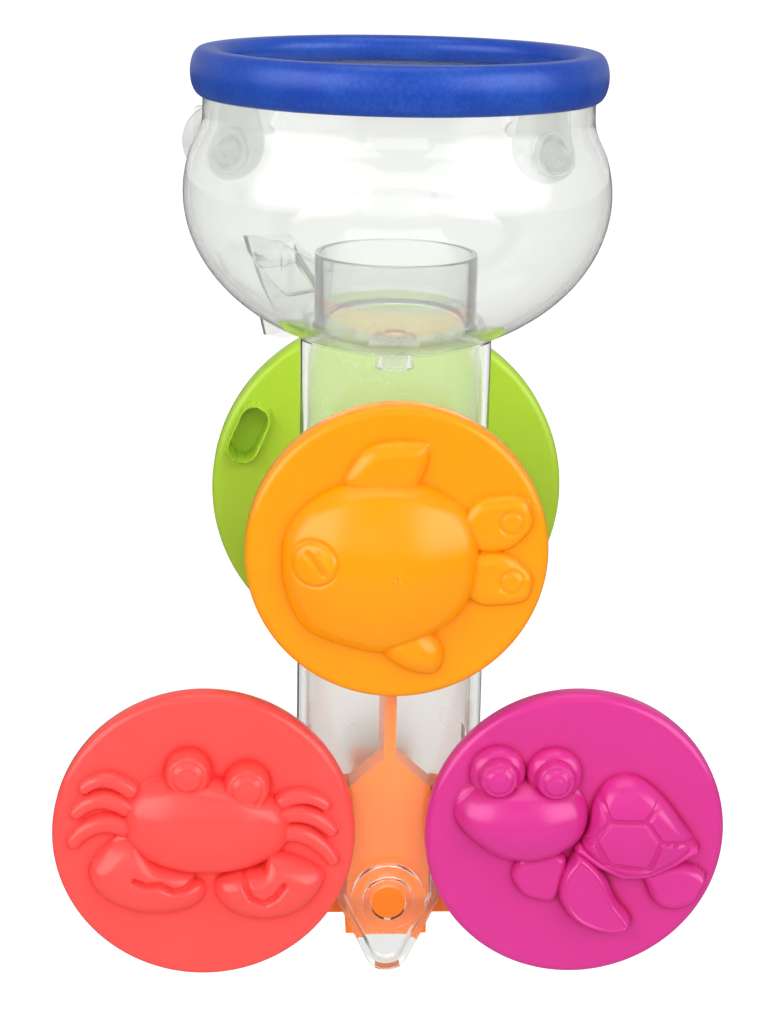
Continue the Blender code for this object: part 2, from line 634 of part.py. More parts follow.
def relief(wheel, x, y, half_width, half_height, rise, tilt=0):
    """Joins a low dome to a wheel's face; the tilt is in degrees, anticlockwise."""
    rings = 3
    unit = wheel["radius"] / DRAWN_RADIUS
    angles = [pi / 2 * i / rings for i in range(rings + 1)]
    profile = [(sin(a), (rise + EMBED) * cos(a) - EMBED) for a in angles] + [(0.0, -EMBED)]
    form = turned(wheel.name + "_form", profile, SMALL_STEPS)
    form.parent = wheel
    form.location = (x * unit * MM, y * unit * MM, 0.0)
    form.rotation_euler = (0.0, 0.0, radians(tilt))
    form.scale = (half_width * unit, half_height * unit, 1.0)
    return join(wheel, form)


def limb(wheel, start, end, half_width, rise):
    """A long low form from one point of a wheel's face to another."""
    across = end[0] - start[0]
    up = end[1] - start[1]
    middle = ((start[0] + end[0]) / 2, (start[1] + end[1]) / 2)
    half_length = sqrt(across ** 2 + up ** 2) / 2
    return relief(wheel, *middle, half_length, half_width, rise, atan2(up, across) * 180 / pi)


bore = AXLE_RADIUS + FIT
fish_profile = [(0.0, 0.0)] + wheel_edge(FISH_RADIUS, FISH_THICKNESS)
fish_profile += [(HUB_RADIUS, -WHEEL_FACE), (HUB_RADIUS, -FISH_HUB_LENGTH), (bore, -FISH_HUB_LENGTH)]
fish_profile += [(bore, -WHEEL_FACE), (0.0, -WHEEL_FACE)]
fish_wheel = turned("fish_wheel", fish_profile, ROUND_STEPS)
place(fish_wheel, 0.0, FISH_DEPTH, main_height, FACING)
fish_wheel["radius"] = FISH_RADIUS
relief(fish_wheel, -5.1, -2.3, 28.8, 24.1, 7.0)
relief(fish_wheel, -2.5, 25.0, 11.0, 8.0, 3.5, tilt=-18)
limb(fish_wheel, (20.0, 3.0), (36.5, 16.0), 6.0, 4.0)
limb(fish_wheel, (21.0, -1.0), (37.5, -11.5), 5.5, 4.0)
limb(fish_wheel, (-4.5, -23.0), (12.5, -31.5), 6.0, 4.0)
relief(fish_wheel, -22.3, 0.1, 6.2, 6.2, 7.2)
fish_wheel.data.materials.append(fish_plastic)

green_profile = [(HUB_RADIUS, GREEN_HUB_FRONT), (HUB_RADIUS, 0.0)] + wheel_edge(GREEN_RADIUS, GREEN_THICKNESS)
green_profile += [(HUB_RADIUS, -WHEEL_FACE), (HUB_RADIUS, -GREEN_HUB_BACK), (bore, -GREEN_HUB_BACK)]
green_profile += [(bore, GREEN_HUB_FRONT)]
green_wheel = turned("green_wheel", green_profile, ROUND_STEPS, closed=True)
place(green_wheel, 0.0, GREEN_DEPTH, main_height, FACING)


def scoop_form(name, grow, bottom, top, angle):
    """A rounded slot standing on the green wheel's face, set along its rim."""
    half_width = SCOOP_WIDTH / 2
    straight = SCOOP_LENGTH / 2 - half_width
    outline = arc((0.0, straight), half_width + grow, 0, 180, 6)
    outline += arc((0.0, -straight), half_width + grow, 180, 360, 6)
    form = plate(name, outline, top - bottom)
    form.parent = green_wheel
    form.location = (SCOOP_RING * cos(angle) * MM, SCOOP_RING * sin(angle) * MM, (top + bottom) / 2 * MM)
    form.rotation_euler = (0.0, 0.0, angle)
    return form


for index in range(SCOOP_COUNT):
    scoop_angle = radians(SCOOP_ANGLE) + index * 2 * pi / SCOOP_COUNT
    join(green_wheel, scoop_form("scoop_wall", SCOOP_WALL, -SCOOP_SINK - SCOOP_WALL, SCOOP_RISE, scoop_angle))
    cut(green_wheel, scoop_form("scoop_hollow", 0.0, -SCOOP_SINK, 2 * SCOOP_RISE, scoop_angle))
green_wheel.data.materials.append(green_plastic)


# Main axle with its cap behind the green wheel and the rotor inside the tower

axle_front = FISH_DEPTH + WHEEL_FACE + FIT
cap_seat = GREEN_DEPTH + GREEN_HUB_BACK + FIT
axle_back = cap_seat + CAP_BORE_DEPTH - FIT
main_axle = rod("main_axle", AXLE_RADIUS, axle_back - axle_front)
place(main_axle, 0.0, axle_front, main_height, FACING)
main_axle.data.materials.append(white_plastic)

cap_profile = [
    (0.0, -CAP_BORE_DEPTH), (bore, -CAP_BORE_DEPTH), (bore, 0.0), (CAP_RADIUS, 0.0),
    (CAP_RADIUS, -CAP_LENGTH * 0.7), (CAP_RADIUS * 0.75, -CAP_LENGTH), (0.0, -CAP_LENGTH)]
axle_cap = turned("axle_cap", cap_profile, SMALL_STEPS)
place(axle_cap, 0.0, cap_seat, main_height, FACING)
axle_cap.data.materials.append(white_plastic)


def vaned_hub(name, hub_radius, hub_length, blade, blade_count, bore_radius):
    """A hub along Z with full-width blades through it; blade is its (width, thickness, length, middle)."""
    hub = rod(name, hub_radius, hub_length)
    for index in range(blade_count):
        vane = block(name + "_vane", blade[:3])
        vane.parent = hub
        vane.location = (0.0, 0.0, blade[3] * MM)
        vane.rotation_euler = (0.0, 0.0, pi * index / blade_count)
        join(hub, vane)
    hub_bore = rod(name + "_bore", bore_radius, 3 * hub_length)
    hub_bore.parent = hub
    hub_bore.location = (0.0, 0.0, hub_length * MM)
    return cut(hub, hub_bore)


rotor_blade = (2 * ROTOR_RADIUS, ROTOR_VANE, 2 * ROTOR_HALF_LENGTH, -ROTOR_HALF_LENGTH)
tower_rotor = vaned_hub("tower_rotor", HUB_RADIUS, 2 * ROTOR_HALF_LENGTH, rotor_blade, ROTOR_BLADES, bore)
place(tower_rotor, 0.0, -ROTOR_HALF_LENGTH, main_height, FACING)
tower_rotor.data.materials.append(white_plastic)


# Lower wheels: each has a disc, a vaned hub behind it, a pin in the base's arm and a retaining ring

paddle_back = -PADDLE_CLEARANCE
paddle_length = paddle_back - PADDLE_HUB_FRONT
vane_length = PADDLE_VANE_BACK - PADDLE_VANE_FRONT
vane_middle = PADDLE_HUB_FRONT - (PADDLE_VANE_FRONT + PADDLE_VANE_BACK) / 2
retainer_front = PADDLE_HUB_FRONT - FIT - RETAINER_HEIGHT
pin_front = retainer_front - FIT
pin_seat = ARM_THICKNESS + FIT


def lower_wheel(animal, x, plastic):
    """Makes one lower wheel with its paddle, pin and ring, and returns the disc."""
    collar = HUB_RADIUS + FIT
    profile = [(0.0, 0.0)] + wheel_edge(LOWER_RADIUS, LOWER_THICKNESS)
    profile += [(collar + COLLAR_WALL, -WHEEL_FACE), (collar + COLLAR_WALL, -WHEEL_FACE - COLLAR_LENGTH)]
    profile += [(collar, -WHEEL_FACE - COLLAR_LENGTH), (collar, -WHEEL_FACE), (0.0, -WHEEL_FACE)]
    disc = turned(animal + "_wheel", profile, ROUND_STEPS)
    place(disc, x, LOWER_DEPTH, LOWER_HEIGHT, FACING)
    disc["radius"] = LOWER_RADIUS
    disc.data.materials.append(plastic)

    blade = (2 * PADDLE_RADIUS, PADDLE_VANE, vane_length, vane_middle)
    paddle = vaned_hub(animal + "_paddle", HUB_RADIUS, paddle_length, blade, PADDLE_BLADES, PIN_RADIUS + FIT)
    place(paddle, x, PADDLE_HUB_FRONT, LOWER_HEIGHT, FACING)
    paddle.data.materials.append(plastic)

    pin_profile = [
        (0.0, pin_seat - pin_front), (PIN_RADIUS, pin_seat - pin_front), (PIN_RADIUS, 0.0), (PIN_HEAD, 0.0),
        (PIN_HEAD, -PIN_HEAD_HEIGHT * 0.6), (PIN_HEAD * 0.8, -PIN_HEAD_HEIGHT), (0.0, -PIN_HEAD_HEIGHT)]
    pin = turned(animal + "_axle", pin_profile, SMALL_STEPS)
    place(pin, x, pin_seat, LOWER_HEIGHT, FACING)
    pin.data.materials.append(white_plastic)

    ring_bore = PIN_RADIUS + FIT
    ring_profile = [
        (RETAINER_RADIUS, 0.0), (RETAINER_RADIUS, -RETAINER_HEIGHT), (ring_bore, -RETAINER_HEIGHT), (ring_bore, 0.0)]
    ring = turned(animal + "_retainer", ring_profile, SMALL_STEPS, closed=True)
    place(ring, x, retainer_front, LOWER_HEIGHT, FACING)
    ring.data.materials.append(steel)
    return disc


crab_wheel = lower_wheel("crab", -LOWER_OFFSET, crab_plastic)
relief(crab_wheel, 0.2, 0.7, 21.3, 12.7, 6.5)
relief(crab_wheel, -5.9, 16.5, 6.3, 6.3, 5.0)
relief(crab_wheel, 10.9, 13.4, 6.3, 6.3, 5.0)
for height in (10.0, 3.5, -3.0):
    limb(crab_wheel, (-20.0, height - 1.0), (-38.0, height + 3.0), 2.6, 3.0)
    limb(crab_wheel, (20.0, height - 2.5), (37.0, height - 1.0), 2.6, 3.0)
limb(crab_wheel, (-31.0, -6.0), (-12.0, -22.5), 6.0, 4.5)
limb(crab_wheel, (-20.0, -19.5), (0.5, -14.0), 5.0, 4.5)
limb(crab_wheel, (33.5, -10.0), (16.0, -24.0), 6.0, 4.5)
limb(crab_wheel, (24.0, -21.5), (4.0, -17.0), 5.0, 4.5)

turtle_wheel = lower_wheel("turtle", LOWER_OFFSET, turtle_plastic)
relief(turtle_wheel, -15.4, 5.1, 18.6, 11.4, 6.0)
relief(turtle_wheel, -22.2, 19.6, 5.6, 5.6, 5.0)
relief(turtle_wheel, -7.1, 18.5, 5.6, 5.6, 5.0)
relief(turtle_wheel, 18.0, 3.9, 14.9, 14.6, 7.0)
limb(turtle_wheel, (0.0, -6.0), (9.5, -28.0), 6.5, 4.0)
limb(turtle_wheel, (-6.5, -7.0), (-16.0, -17.5), 4.5, 3.5)
limb(turtle_wheel, (20.5, -9.5), (37.0, -19.0), 5.0, 3.5)


# The exact solver leaves open edges where flat faces meet in these four

for made in (tower_front_shell, tower_back_shell, green_wheel, tower_rotor):
    for step in made.modifiers:
        if step.type == "BOOLEAN":
            step.solver = "MANIFOLD"
bpy.context.view_layer.update()
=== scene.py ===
"""Looks of the wall-hung water wheel toy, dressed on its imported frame.

Sizes are in millimetres until a piece is made. X runs to the right, Z up, and the wall is the plane Y = 0
with the viewer on the -Y side. Depths count from the axis of the bowl and tower, positive to the wall.
"""

from math import acos, atan2, cos, degrees, pi, radians, sin, sqrt, tan

import bmesh
import bpy
import numpy as np
from mathutils import Matrix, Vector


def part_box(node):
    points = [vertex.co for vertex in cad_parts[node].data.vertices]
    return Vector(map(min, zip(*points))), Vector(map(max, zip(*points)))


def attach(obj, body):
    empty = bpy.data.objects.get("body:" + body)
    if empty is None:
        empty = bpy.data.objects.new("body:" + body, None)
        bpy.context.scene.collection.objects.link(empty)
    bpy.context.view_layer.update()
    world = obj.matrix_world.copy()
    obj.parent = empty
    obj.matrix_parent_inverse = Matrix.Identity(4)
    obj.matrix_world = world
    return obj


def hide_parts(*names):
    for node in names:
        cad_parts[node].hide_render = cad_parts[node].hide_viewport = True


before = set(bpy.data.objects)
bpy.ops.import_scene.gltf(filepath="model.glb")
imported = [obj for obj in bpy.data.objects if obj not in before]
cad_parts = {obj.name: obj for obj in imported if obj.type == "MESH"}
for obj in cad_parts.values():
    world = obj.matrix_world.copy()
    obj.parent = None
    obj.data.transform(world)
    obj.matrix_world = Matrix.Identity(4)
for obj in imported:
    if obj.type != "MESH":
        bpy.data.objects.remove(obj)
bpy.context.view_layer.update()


# Bowl
# A clear styrene shell moulded in one piece: a neck above a round belly, a low dam inside that holds water
# back, a nozzle under it and a sloping collar at the back left that leads into the side spout. Two flat ears
# welded on at the back carry the suction cups.

MM = 0.001
WALL_TO_AXIS = 66.0
BOWL_RADIUS = 64.4
BOWL_HALF_HEIGHT = 48.7
BOWL_MIDDLE = 205.0
BOWL_WALL = 2.2
NECK_RADIUS = 58.5
NECK_TOP = 246.0
NOZZLE_RADIUS = 6.0
NOZZLE_BORE = 4.0
NOZZLE_END = 151.0
DAM_RADIUS = 24.8
DAM_WALL = 1.8
DAM_TOP = 186.4
EAR_OFFSET = 55.2
EAR_HEIGHT = 211.8
EAR_RADIUS = 8.0
EAR_TOP = 225.1
EAR_BOTTOM = 215.8
EAR_INNER_END = 32.0
EAR_RING_WALL = 1.6
EAR_RING_RISE = 2.0
EAR_FRONT = 46.0
EAR_BACK = 49.0
STEM_HOLE = 4.2
WELD_GAP = 0.3
SPOUT_OFFSET = -33.0
SPOUT_DEPTH = 30.0
SPOUT_END = 154.8
SPOUT_TOP = 186.3
SPOUT_TOP_HALF = (12.5, 9.0)
SPOUT_TAPER = 0.5
SPOUT_WALL = 1.6
SPOUT_TURN = radians(47.7)
SPOUT_SLOPE = radians(41.0)
SPOUT_RIDGE = -35.0


def at(x, depth, height):
    """Stacks coordinates into points, with depths turned into Y."""
    x, depth, height = np.broadcast_arrays(x, depth, height)
    return np.stack([x, depth - WALL_TO_AXIS, height], axis=-1).astype(float)


def sheet(points, wrap_rows=False, wrap_columns=False):
    """Quads between neighbours of a (rows, columns, 3) grid, whose ends meet where it wraps."""
    rows, columns = points.shape[:2]
    index = np.arange(rows * columns).reshape(rows, columns)
    index = np.vstack([index, index[:1]]) if wrap_rows else index
    index = np.hstack([index, index[:, :1]]) if wrap_columns else index
    quads = np.stack([index[:-1, :-1], index[:-1, 1:], index[1:, 1:], index[1:, :-1]], axis=-1)
    return points.reshape(-1, 3), quads.reshape(-1, 4).tolist()


def swept(loops):
    """A body from a row of closed loops, (stations, points, 3): quads along it and a cap at each end."""
    points, faces = sheet(loops, wrap_columns=True)
    count = loops.shape[1]
    first = list(range(count))
    last = list(range(len(points) - count, len(points)))
    return points, faces + [first, last]


def prism(outline, front, back):
    """An outline of (x, height) points carried straight from one depth to another."""
    x, height = np.asarray(outline, float).T
    return swept(np.stack([at(x, front, height), at(x, back, height)]))


def upright(profile, sectors=192):
    """Turns (radius, height) points round the bowl's axis: x = r cos a, depth = r sin a."""
    angle = np.linspace(0.0, 2 * pi, sectors, endpoint=False)
    radius, height = np.asarray(profile, float).T[:, :, None]
    return at(radius * np.cos(angle), radius * np.sin(angle), height)


def facing(profile, x, height, sectors=64):
    """Turns (radius, depth) points round an axis towards the viewer: x + r cos a, height + r sin a."""
    angle = np.linspace(0.0, 2 * pi, sectors, endpoint=False)
    radius, depth = np.asarray(profile, float).T[:, :, None]
    return at(x + radius * np.cos(angle), depth, height + radius * np.sin(angle))


def rounded(corners, steps=4, closed=True):
    """Rounds a line of (across, along, radius) corners.

    Each corner P gives way to (1-t)^2 A + 2t(1-t) P + t^2 B, where A and B lie on its two sides, the radius
    away or half a side if that is less. The ends of an open line stay, and repeated points are left out.
    """
    corners = np.array(corners, float)
    point = corners[:, :2]
    radius = corners[:, 2]
    radius[[0, -1]] *= closed

    def towards(neighbour):
        way = neighbour - point
        length = np.linalg.norm(way, axis=1)
        return point + way * (np.minimum(radius, length / 2) / length)[:, None]

    start = towards(np.roll(point, 1, axis=0))
    end = towards(np.roll(point, -1, axis=0))
    t = np.linspace(0.0, 1.0, steps + 1)[:, None]
    curve = (1 - t) ** 2 * start[:, None] + 2 * t * (1 - t) * point[:, None] + t ** 2 * end[:, None]
    curve = curve.reshape(-1, 2)
    moved = np.linalg.norm(curve - np.roll(curve, 1, axis=0), axis=1)
    return curve[moved > 1e-6]


def piece(name, *sheets, crease=None):
    """One object from several sheets in millimetres, its doubles merged and its faces turned outwards.

    A crease value for each point, if given, is kept as an attribute that materials read for painted shade.
    """
    starts = np.cumsum([0] + [len(points) for points, faces in sheets])
    points = np.concatenate([points for points, faces in sheets]) * MM
    faces = [
        [corner + start for corner in face]
        for (_, listed), start in zip(sheets, starts) for face in listed]
    mesh = bpy.data.meshes.new(name)
    mesh.from_pydata(points.tolist(), [], faces)
    if crease is not None:
        mesh.attributes.new("crease", "FLOAT", "POINT").data.foreach_set("value", crease.ravel())
    body = bmesh.new()
    body.from_mesh(mesh)
    bmesh.ops.remove_doubles(body, verts=body.verts, dist=0.002 * MM)
    bmesh.ops.dissolve_degenerate(body, edges=body.edges, dist=0.001 * MM)
    bmesh.ops.recalc_face_normals(body, faces=body.faces)
    body.to_mesh(mesh)
    body.free()
    made = bpy.data.objects.new(name, mesh)
    bpy.context.scene.collection.objects.link(made)
    return made


def carve(target, operation, *sheets):
    """Joins sheets to a piece or cuts them out of it for good."""
    tool = piece("tool", *sheets)
    step = target.modifiers.new(operation, "BOOLEAN")
    step.operation = operation
    step.solver = "EXACT"
    step.object = tool
    shaped = target.evaluated_get(bpy.context.evaluated_depsgraph_get())
    mesh = bpy.data.meshes.new_from_object(shaped)
    target.modifiers.clear()
    target.data = mesh
    bpy.data.objects.remove(tool)


def dress(made, finish, body, slot, *nodes):
    """Smooths a piece up to its real edges, gives it its material and hands it to its CAD body."""
    made.data.shade_smooth()
    made.data.set_sharp_from_angle(angle=radians(32))
    made.data.materials.clear()
    made.data.materials.append(finish)
    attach(made, body)
    made.visible_shadow = not slot.startswith("clear")  # lamps shine through what is clear
    if nodes:
        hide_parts(*nodes)


def linear(hex_colour):
    """An sRGB hex colour as linear RGBA."""
    srgb = np.array([int(hex_colour[i:i + 2], 16) for i in (1, 3, 5)]) / 255
    return (*np.where(srgb <= 0.04045, srgb / 12.92, ((srgb + 0.055) / 1.055) ** 2.4), 1.0)


def node(tree, kind, settings, inputs):
    """Adds a node with its settings; each input is a value or the socket that feeds it."""
    made = tree.nodes.new(kind)
    for name, value in settings.items():
        setattr(made, name, value)
    for name, value in inputs.items():
        if isinstance(value, bpy.types.NodeSocket):
            tree.links.new(value, made.inputs[name])
        else:
            made.inputs[name].default_value = value
    return made


def new_material(name):
    """An empty material, its node tree, its output and its Object coordinates."""
    made = bpy.data.materials.new(name)
    made.use_nodes = True
    tree = made.node_tree
    tree.nodes.clear()
    output = node(tree, "ShaderNodeOutputMaterial", {}, {})
    place = node(tree, "ShaderNodeTexCoord", {}, {}).outputs["Object"]
    return made, tree, output, place


def styrene(name, tint, clearness, polished, handled):
    """Crystal styrene with its tint, clearness and roughness where it is untouched and where it is handled.

    It is clear and glossy with a trace of milkiness, a little grey where light runs along the wall. Its
    moulded skin wavers faintly, about 9 mm from crest to crest, with duller patches 22 mm across from hands.
    """
    made, tree, output, place = new_material(name)
    waves = node(tree, "ShaderNodeTexNoise", {}, {"Vector": place, "Scale": 1 / (9 * MM), "Detail": 1.0})
    hands = node(tree, "ShaderNodeTexNoise", {}, {"Vector": place, "Scale": 1 / (22 * MM), "Detail": 3.0})
    dull = node(tree, "ShaderNodeMapRange", {}, {
        "Value": hands.outputs["Fac"], "From Min": 0.35, "From Max": 0.7,
        "To Min": polished, "To Max": handled})
    ripple = node(tree, "ShaderNodeBump", {}, {
        "Height": waves.outputs["Fac"], "Strength": 0.04, "Distance": 0.3 * MM})
    shader = node(tree, "ShaderNodeBsdfPrincipled", {}, {
        "Base Color": linear(tint), "Roughness": dull.outputs["Result"], "IOR": 1.5,
        "Transmission Weight": clearness, "Normal": ripple.outputs["Normal"]})
    haze = node(tree, "ShaderNodeVolumeAbsorption", {}, {"Color": linear("#dfe3df"), "Density": 13.0})
    tree.links.new(shader.outputs["BSDF"], output.inputs["Surface"])
    tree.links.new(haze.outputs["Volume"], output.inputs["Volume"])
    return made


clear_styrene = styrene("clear_moulded_styrene", "#f4f5f3", 0.945, 0.015, 0.06)


def belly(inset, start, end, count):
    """Rows on the bowl's ellipse, (wide cos a, middle + tall sin a), from one angle in degrees to another."""
    angle = np.radians(np.linspace(start, end, count))
    wide = BOWL_RADIUS - inset
    tall = BOWL_HALF_HEIGHT - inset
    return np.column_stack([wide * np.cos(angle), BOWL_MIDDLE + tall * np.sin(angle), 0 * angle]).tolist()


def belly_height(inset, radius, upper=False):
    """Height of the bowl's ellipse at a radius, below its middle or above it."""
    share = np.sqrt(np.clip(1 - (radius / (BOWL_RADIUS - inset)) ** 2, 0, 1))
    return BOWL_MIDDLE + (BOWL_HALF_HEIGHT - inset) * share * (1 if upper else -1)


neck_inside = NECK_RADIUS - BOWL_WALL
dam_inside = DAM_RADIUS - DAM_WALL
bowl_profile = [(NECK_RADIUS, NECK_TOP, 0.5), (NECK_RADIUS, belly_height(0, NECK_RADIUS, True), 3.5)]
bowl_profile += belly(0, 15, -79, 72)
bowl_profile += [(NOZZLE_RADIUS, belly_height(0, NOZZLE_RADIUS), 1.5), (NOZZLE_RADIUS, NOZZLE_END, 0.5)]
bowl_profile += [(NOZZLE_BORE, NOZZLE_END, 0.5), (NOZZLE_BORE, belly_height(BOWL_WALL, NOZZLE_BORE), 1.0)]
bowl_profile += belly(BOWL_WALL, -82, -72, 8)
bowl_profile += [(dam_inside, belly_height(BOWL_WALL, dam_inside), 1.2), (dam_inside, DAM_TOP, 0.8)]
bowl_profile += [(DAM_RADIUS, DAM_TOP, 0.8), (DAM_RADIUS, belly_height(BOWL_WALL, DAM_RADIUS), 1.2)]
bowl_profile += belly(BOWL_WALL, -63, 15, 60)
bowl_profile += [(neck_inside, belly_height(BOWL_WALL, neck_inside, True), 3.5), (neck_inside, NECK_TOP, 0.5)]
bowl = piece("clear_bowl", sheet(upright(rounded(bowl_profile)), wrap_rows=True, wrap_columns=True))

ear_inside = EAR_OFFSET - EAR_RADIUS
ear_outside = EAR_OFFSET + EAR_RADIUS
ear_corners = [
    (EAR_INNER_END, EAR_TOP, 0.5), (ear_outside, EAR_TOP, 2.0),
    (ear_outside, EAR_HEIGHT - EAR_RADIUS, EAR_RADIUS), (ear_inside, EAR_HEIGHT - EAR_RADIUS, EAR_RADIUS),
    (ear_inside, EAR_BOTTOM, 1.5), (EAR_INNER_END, EAR_BOTTOM, 0.5)]
ear_x, ear_z = rounded(ear_corners, steps=12).T
# The ear's root follows the middle of the bowl's wall, so that nothing shows inside the bowl
wall_middle = BOWL_WALL / 2
share = (ear_z - BOWL_MIDDLE) / (BOWL_HALF_HEIGHT - wall_middle)
root_radius = (BOWL_RADIUS - wall_middle) * np.sqrt(1 - share ** 2)
ring_inside = EAR_RADIUS - EAR_RING_WALL
ring_front = EAR_FRONT - EAR_RING_RISE
ear_ring = [
    (EAR_RADIUS, EAR_FRONT + 1, 0), (EAR_RADIUS, ring_front, 0.6), (ring_inside, ring_front, 0.6),
    (ring_inside, EAR_FRONT + 1, 0)]
for hand in (-1, 1):
    loops = []
    for depth in (EAR_FRONT, EAR_BACK):
        root = np.sqrt(root_radius ** 2 - depth ** 2)
        loops.append(at(hand * np.maximum(ear_x, root), depth, ear_z))
    carve(bowl, "UNION", swept(np.stack(loops)))
    carve(bowl, "UNION", sheet(facing(rounded(ear_ring), hand * EAR_OFFSET, EAR_HEIGHT), True, True))
    hole_ends = [(STEM_HOLE, EAR_FRONT - 3), (STEM_HOLE, EAR_BACK + 2)]
    carve(bowl, "DIFFERENCE", swept(facing(hole_ends, hand * EAR_OFFSET, EAR_HEIGHT)))


def spout_section(inset, height):
    """A four-sided funnel's rounded section, growing with height, as (x, depth) arrays along its outline."""
    half = np.array(SPOUT_TOP_HALF) - inset
    corners = [(1, 1, 0.12), (-1, 1, 0.12), (-1, -1, 0.12), (1, -1, 0.12)]
    unit_x, unit_depth = rounded(corners, steps=6).T
    share = (height - SPOUT_END) / (SPOUT_TOP - SPOUT_END)
    grown = SPOUT_TAPER + (1 - SPOUT_TAPER) * share
    along = half[0] * unit_x * grown
    across = half[1] * unit_depth * grown
    x = SPOUT_OFFSET + along * cos(SPOUT_TURN) - across * sin(SPOUT_TURN)
    depth = SPOUT_DEPTH + along * sin(SPOUT_TURN) + across * cos(SPOUT_TURN)
    return x, depth


def spout_meets(inset, bowl_inset):
    """Heights where the funnel's sides meet the bowl's ellipse, found by going to and fro between them."""
    height = np.full_like(spout_section(inset, SPOUT_END)[0], SPOUT_TOP)
    for _ in range(12):
        height = np.minimum(SPOUT_TOP, belly_height(bowl_inset, np.hypot(*spout_section(inset, height))))
    return height


def spout_wall(inset, low, high):
    """The funnel's side as rows from one line of heights to another."""
    height = low + (high - low) * np.linspace(0, 1, 12)[:, None]
    return at(*spout_section(inset, height), height)


collar_walls = []
for inset in (0.0, SPOUT_WALL):
    low = spout_meets(inset, BOWL_WALL / 2)
    high = np.full_like(low, SPOUT_TOP)
    for _ in range(12):
        past_ridge = np.maximum(spout_section(inset, high)[0] - SPOUT_RIDGE, 0.0)
        high = SPOUT_TOP - past_ridge * tan(SPOUT_SLOPE)
    collar_walls.append(spout_wall(inset, low, np.maximum(high, low + 0.6)))
carve(bowl, "UNION", sheet(np.vstack([collar_walls[0], collar_walls[1][::-1]]), True, True))
hole_loops = [
    at(*spout_section(1.1 * SPOUT_WALL, height), height) for height in (SPOUT_END - 2, SPOUT_TOP + 2)]
carve(bowl, "DIFFERENCE", swept(np.stack(hole_loops)))
dress(bowl, clear_styrene, "stand", "clear_plastic", "bowl")


# Side spout
# A small clear funnel welded under a hole at the back left of the bowl, which pours onto the green wheel.
# Its upper edge follows the bowl's belly with a hair of weld gap.

spout_walls = [spout_wall(inset, SPOUT_END, spout_meets(inset, -WELD_GAP)) for inset in (0.0, SPOUT_WALL)]
side_spout = piece("clear_side_spout", sheet(np.vstack([spout_walls[0], spout_walls[1][::-1]]), True, True))
dress(side_spout, clear_styrene, "stand", "clear_plastic", "side_spout")


# Rim
# A soft blue thermoplastic rubber ring pressed over the neck, with a round outer bulge, a shorter inner lip
# and a slot that grips the clear wall. Its skin is dull and faintly speckled.

RIM_SLOT_OUTSIDE = 58.8
RIM_SLOT_INSIDE = 56.0
RIM_BULGE = 3.4
RIM_TOP = 247.66
RIM_HEIGHT = 14.0
RIM_LIP = 8.0
SLOT_TOP = 246.3

soft_blue, tree, output, place = new_material("soft_blue_thermoplastic_rubber")
# Speckles 1.2 mm across and broad cloudy patches break up the blue, and a fine pebbled skin keeps it dull
speckle = node(tree, "ShaderNodeTexNoise", {}, {"Vector": place, "Scale": 1 / (1.2 * MM), "Detail": 3.0})
clouds = node(tree, "ShaderNodeTexNoise", {}, {"Vector": place, "Scale": 1 / (14 * MM), "Detail": 2.0})
mottle = node(tree, "ShaderNodeMath", {"operation": "MULTIPLY"}, {
    0: speckle.outputs["Fac"], 1: clouds.outputs["Fac"]})
tint = node(tree, "ShaderNodeMapRange", {}, {
    "Value": mottle.outputs["Value"], "From Min": 0.15, "From Max": 0.38})
blue = node(tree, "ShaderNodeMix", {"data_type": "RGBA"}, {
    "Factor": tint.outputs["Result"], 6: linear("#0b3ca1"), 7: linear("#1d4eaf")})
pebble = node(tree, "ShaderNodeBump", {}, {
    "Height": speckle.outputs["Fac"], "Strength": 0.15, "Distance": 0.1 * MM})
shader = node(tree, "ShaderNodeBsdfPrincipled", {}, {
    "Base Color": blue.outputs[2], "Roughness": 0.36, "IOR": 1.5, "Specular IOR Level": 0.35,
    "Normal": pebble.outputs["Normal"]})
tree.links.new(shader.outputs["BSDF"], output.inputs["Surface"])

swing = np.radians(np.linspace(82, -82, 40))
outer_bulge = np.column_stack([
    RIM_SLOT_OUTSIDE + RIM_BULGE * np.cos(swing), RIM_TOP + RIM_HEIGHT / 2 * (np.sin(swing) - 1), 0 * swing])
inner_bulge = np.column_stack([
    RIM_SLOT_INSIDE - RIM_BULGE * np.cos(swing), RIM_TOP - RIM_LIP / 2 * (np.sin(swing) + 1), 0 * swing])
rim_profile = outer_bulge.tolist()
rim_profile += [(RIM_SLOT_OUTSIDE, RIM_TOP - RIM_HEIGHT, 0.6), (RIM_SLOT_OUTSIDE, SLOT_TOP, 0.2)]
rim_profile += [(RIM_SLOT_INSIDE, SLOT_TOP, 0.2), (RIM_SLOT_INSIDE, RIM_TOP - RIM_LIP, 0.6)]
rim_profile += inner_bulge.tolist()
rim = piece("blue_rim", sheet(upright(rounded(rim_profile)), wrap_rows=True, wrap_columns=True))
dress(rim, soft_blue, "stand", "blue_soft", "bowl_rim")


# Tower
# Two clear styrene half shells that meet at the sides, their upper edge shaped to the bowl. The front half
# runs down into a V-shaped tongue with a stiffening flange behind it and a stepped ring round the base's peg.

